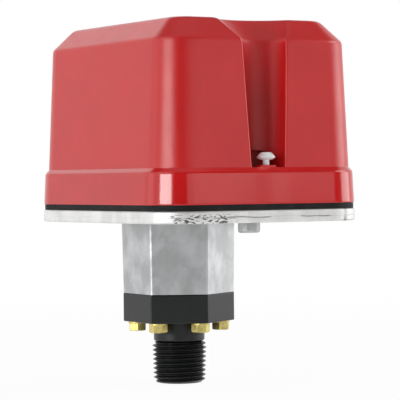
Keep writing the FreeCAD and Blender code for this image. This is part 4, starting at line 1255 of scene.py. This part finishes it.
def card_finish(name, tone):
    """An evenly lit grey card, a little cloudy."""
    sheet = NodeSheet(name)
    mottle = sheet.spread(sheet.noise(0.3, 2.0), 0.3, 0.7)
    return sheet.show(sheet.add("ShaderNodeEmission", {"Color": sheet.tint(mottle, tone, 0.96, 1.04)}))


def upright_card(studio, name, turn, material):
    """A tall card that faces the object from `turn` degrees right of the camera."""
    ahead = studio_direction(studio, turn, 0.0)
    wide = Vector((0.0, 0.0, 1.0)).cross(ahead) * CARD_HALF
    middle = ahead * CARD_DISTANCE
    top = Vector((0.0, 0.0, CARD_HEIGHT))
    corners = [middle - wide, middle + wide, middle + wide + top, middle - wide + top]
    return stage_sheet(name, corners, material)


def grey_cards(studio):
    """Grey cards behind the camera, to its right and overhead, which the camera itself doesn't see.

    They show in reflections, and the front one also counts for matt surfaces.
    """
    front = upright_card(studio, "front_card", 3.0, card_finish("front_card", studio.front_card))
    beside = upright_card(studio, "side_card", 62.5, card_finish("side_card", studio.side_card))
    corners = level_square(OVERHEAD_HALF, OVERHEAD_HEIGHT)
    overhead = stage_sheet("overhead_card", corners, card_finish("top_card", studio.top_card))
    for card in (front, beside, overhead):
        card.visible_camera = False
        card.visible_diffuse = card is front
        card.visible_shadow = False


def room(studio):
    """A white room to the camera and in reflections, and a softer one for matt surfaces."""
    world = bpy.data.worlds.new("studio_room")
    sheet = NodeSheet("studio_room", world)
    path = sheet.add("ShaderNodeLightPath").outputs
    seen = sheet.sum(path["Is Camera Ray"], path["Is Glossy Ray"], "MAXIMUM")
    seen = sheet.sum(seen, path["Is Transmission Ray"], "MAXIMUM")
    strength = sheet.add("ShaderNodeMapRange", {"Value": seen, "To Min": studio.ambient, "To Max": 1.0})
    inputs = {"Color": (1.0, 1.0, 1.0, 1.0), "Strength": strength.outputs["Result"]}
    background = sheet.add("ShaderNodeBackground", inputs)
    bpy.context.scene.world = sheet.show(background, "ShaderNodeOutputWorld")


# Panel and registration

class SWITCH_PT_pieces(bpy.types.Panel):
    """Lists the switch's pieces and their sizes"""

    bl_idname = "SWITCH_PT_pieces"
    bl_label = "Pressure switch"
    bl_space_type = "VIEW_3D"
    bl_region_type = "UI"
    bl_category = "Switch"

    def draw(self, context):
        for operator in OPERATORS:
            self.layout.operator(operator.bl_idname)
        for name, group in SETTINGS.items():
            box = self.layout.box()
            box.label(text=name.replace("_", " ").capitalize())
            for field in group.__annotations__:
                box.prop(getattr(context.scene, name), field)


OPERATORS = (SWITCH_OT_cover, SWITCH_OT_fitting, SWITCH_OT_flange_screws, SWITCH_OT_cover_screws,
             SWITCH_OT_range_spring, SWITCH_OT_carried_nodes, SWITCH_OT_studio)


def register():
    for group in SETTINGS.values():
        bpy.utils.register_class(group)
    for name, group in SETTINGS.items():
        setattr(bpy.types.Scene, name, bpy.props.PointerProperty(type=group))
    for operator in OPERATORS:
        bpy.utils.register_class(operator)
    bpy.utils.register_class(SWITCH_PT_pieces)


def unregister():
    bpy.utils.unregister_class(SWITCH_PT_pieces)
    for operator in reversed(OPERATORS):
        bpy.utils.unregister_class(operator)
    for name in SETTINGS:
        delattr(bpy.types.Scene, name)
    for group in reversed(SETTINGS.values()):
        bpy.utils.unregister_class(group)


def main():
    register()
    bpy.ops.switch.cover()
    bpy.ops.switch.fitting()
    bpy.ops.switch.flange_screws()
    bpy.ops.switch.cover_screws()
    bpy.ops.switch.range_spring()
    bpy.ops.switch.carried_nodes()
    bpy.ops.switch.studio()


if __name__ == "__main__":
    main()
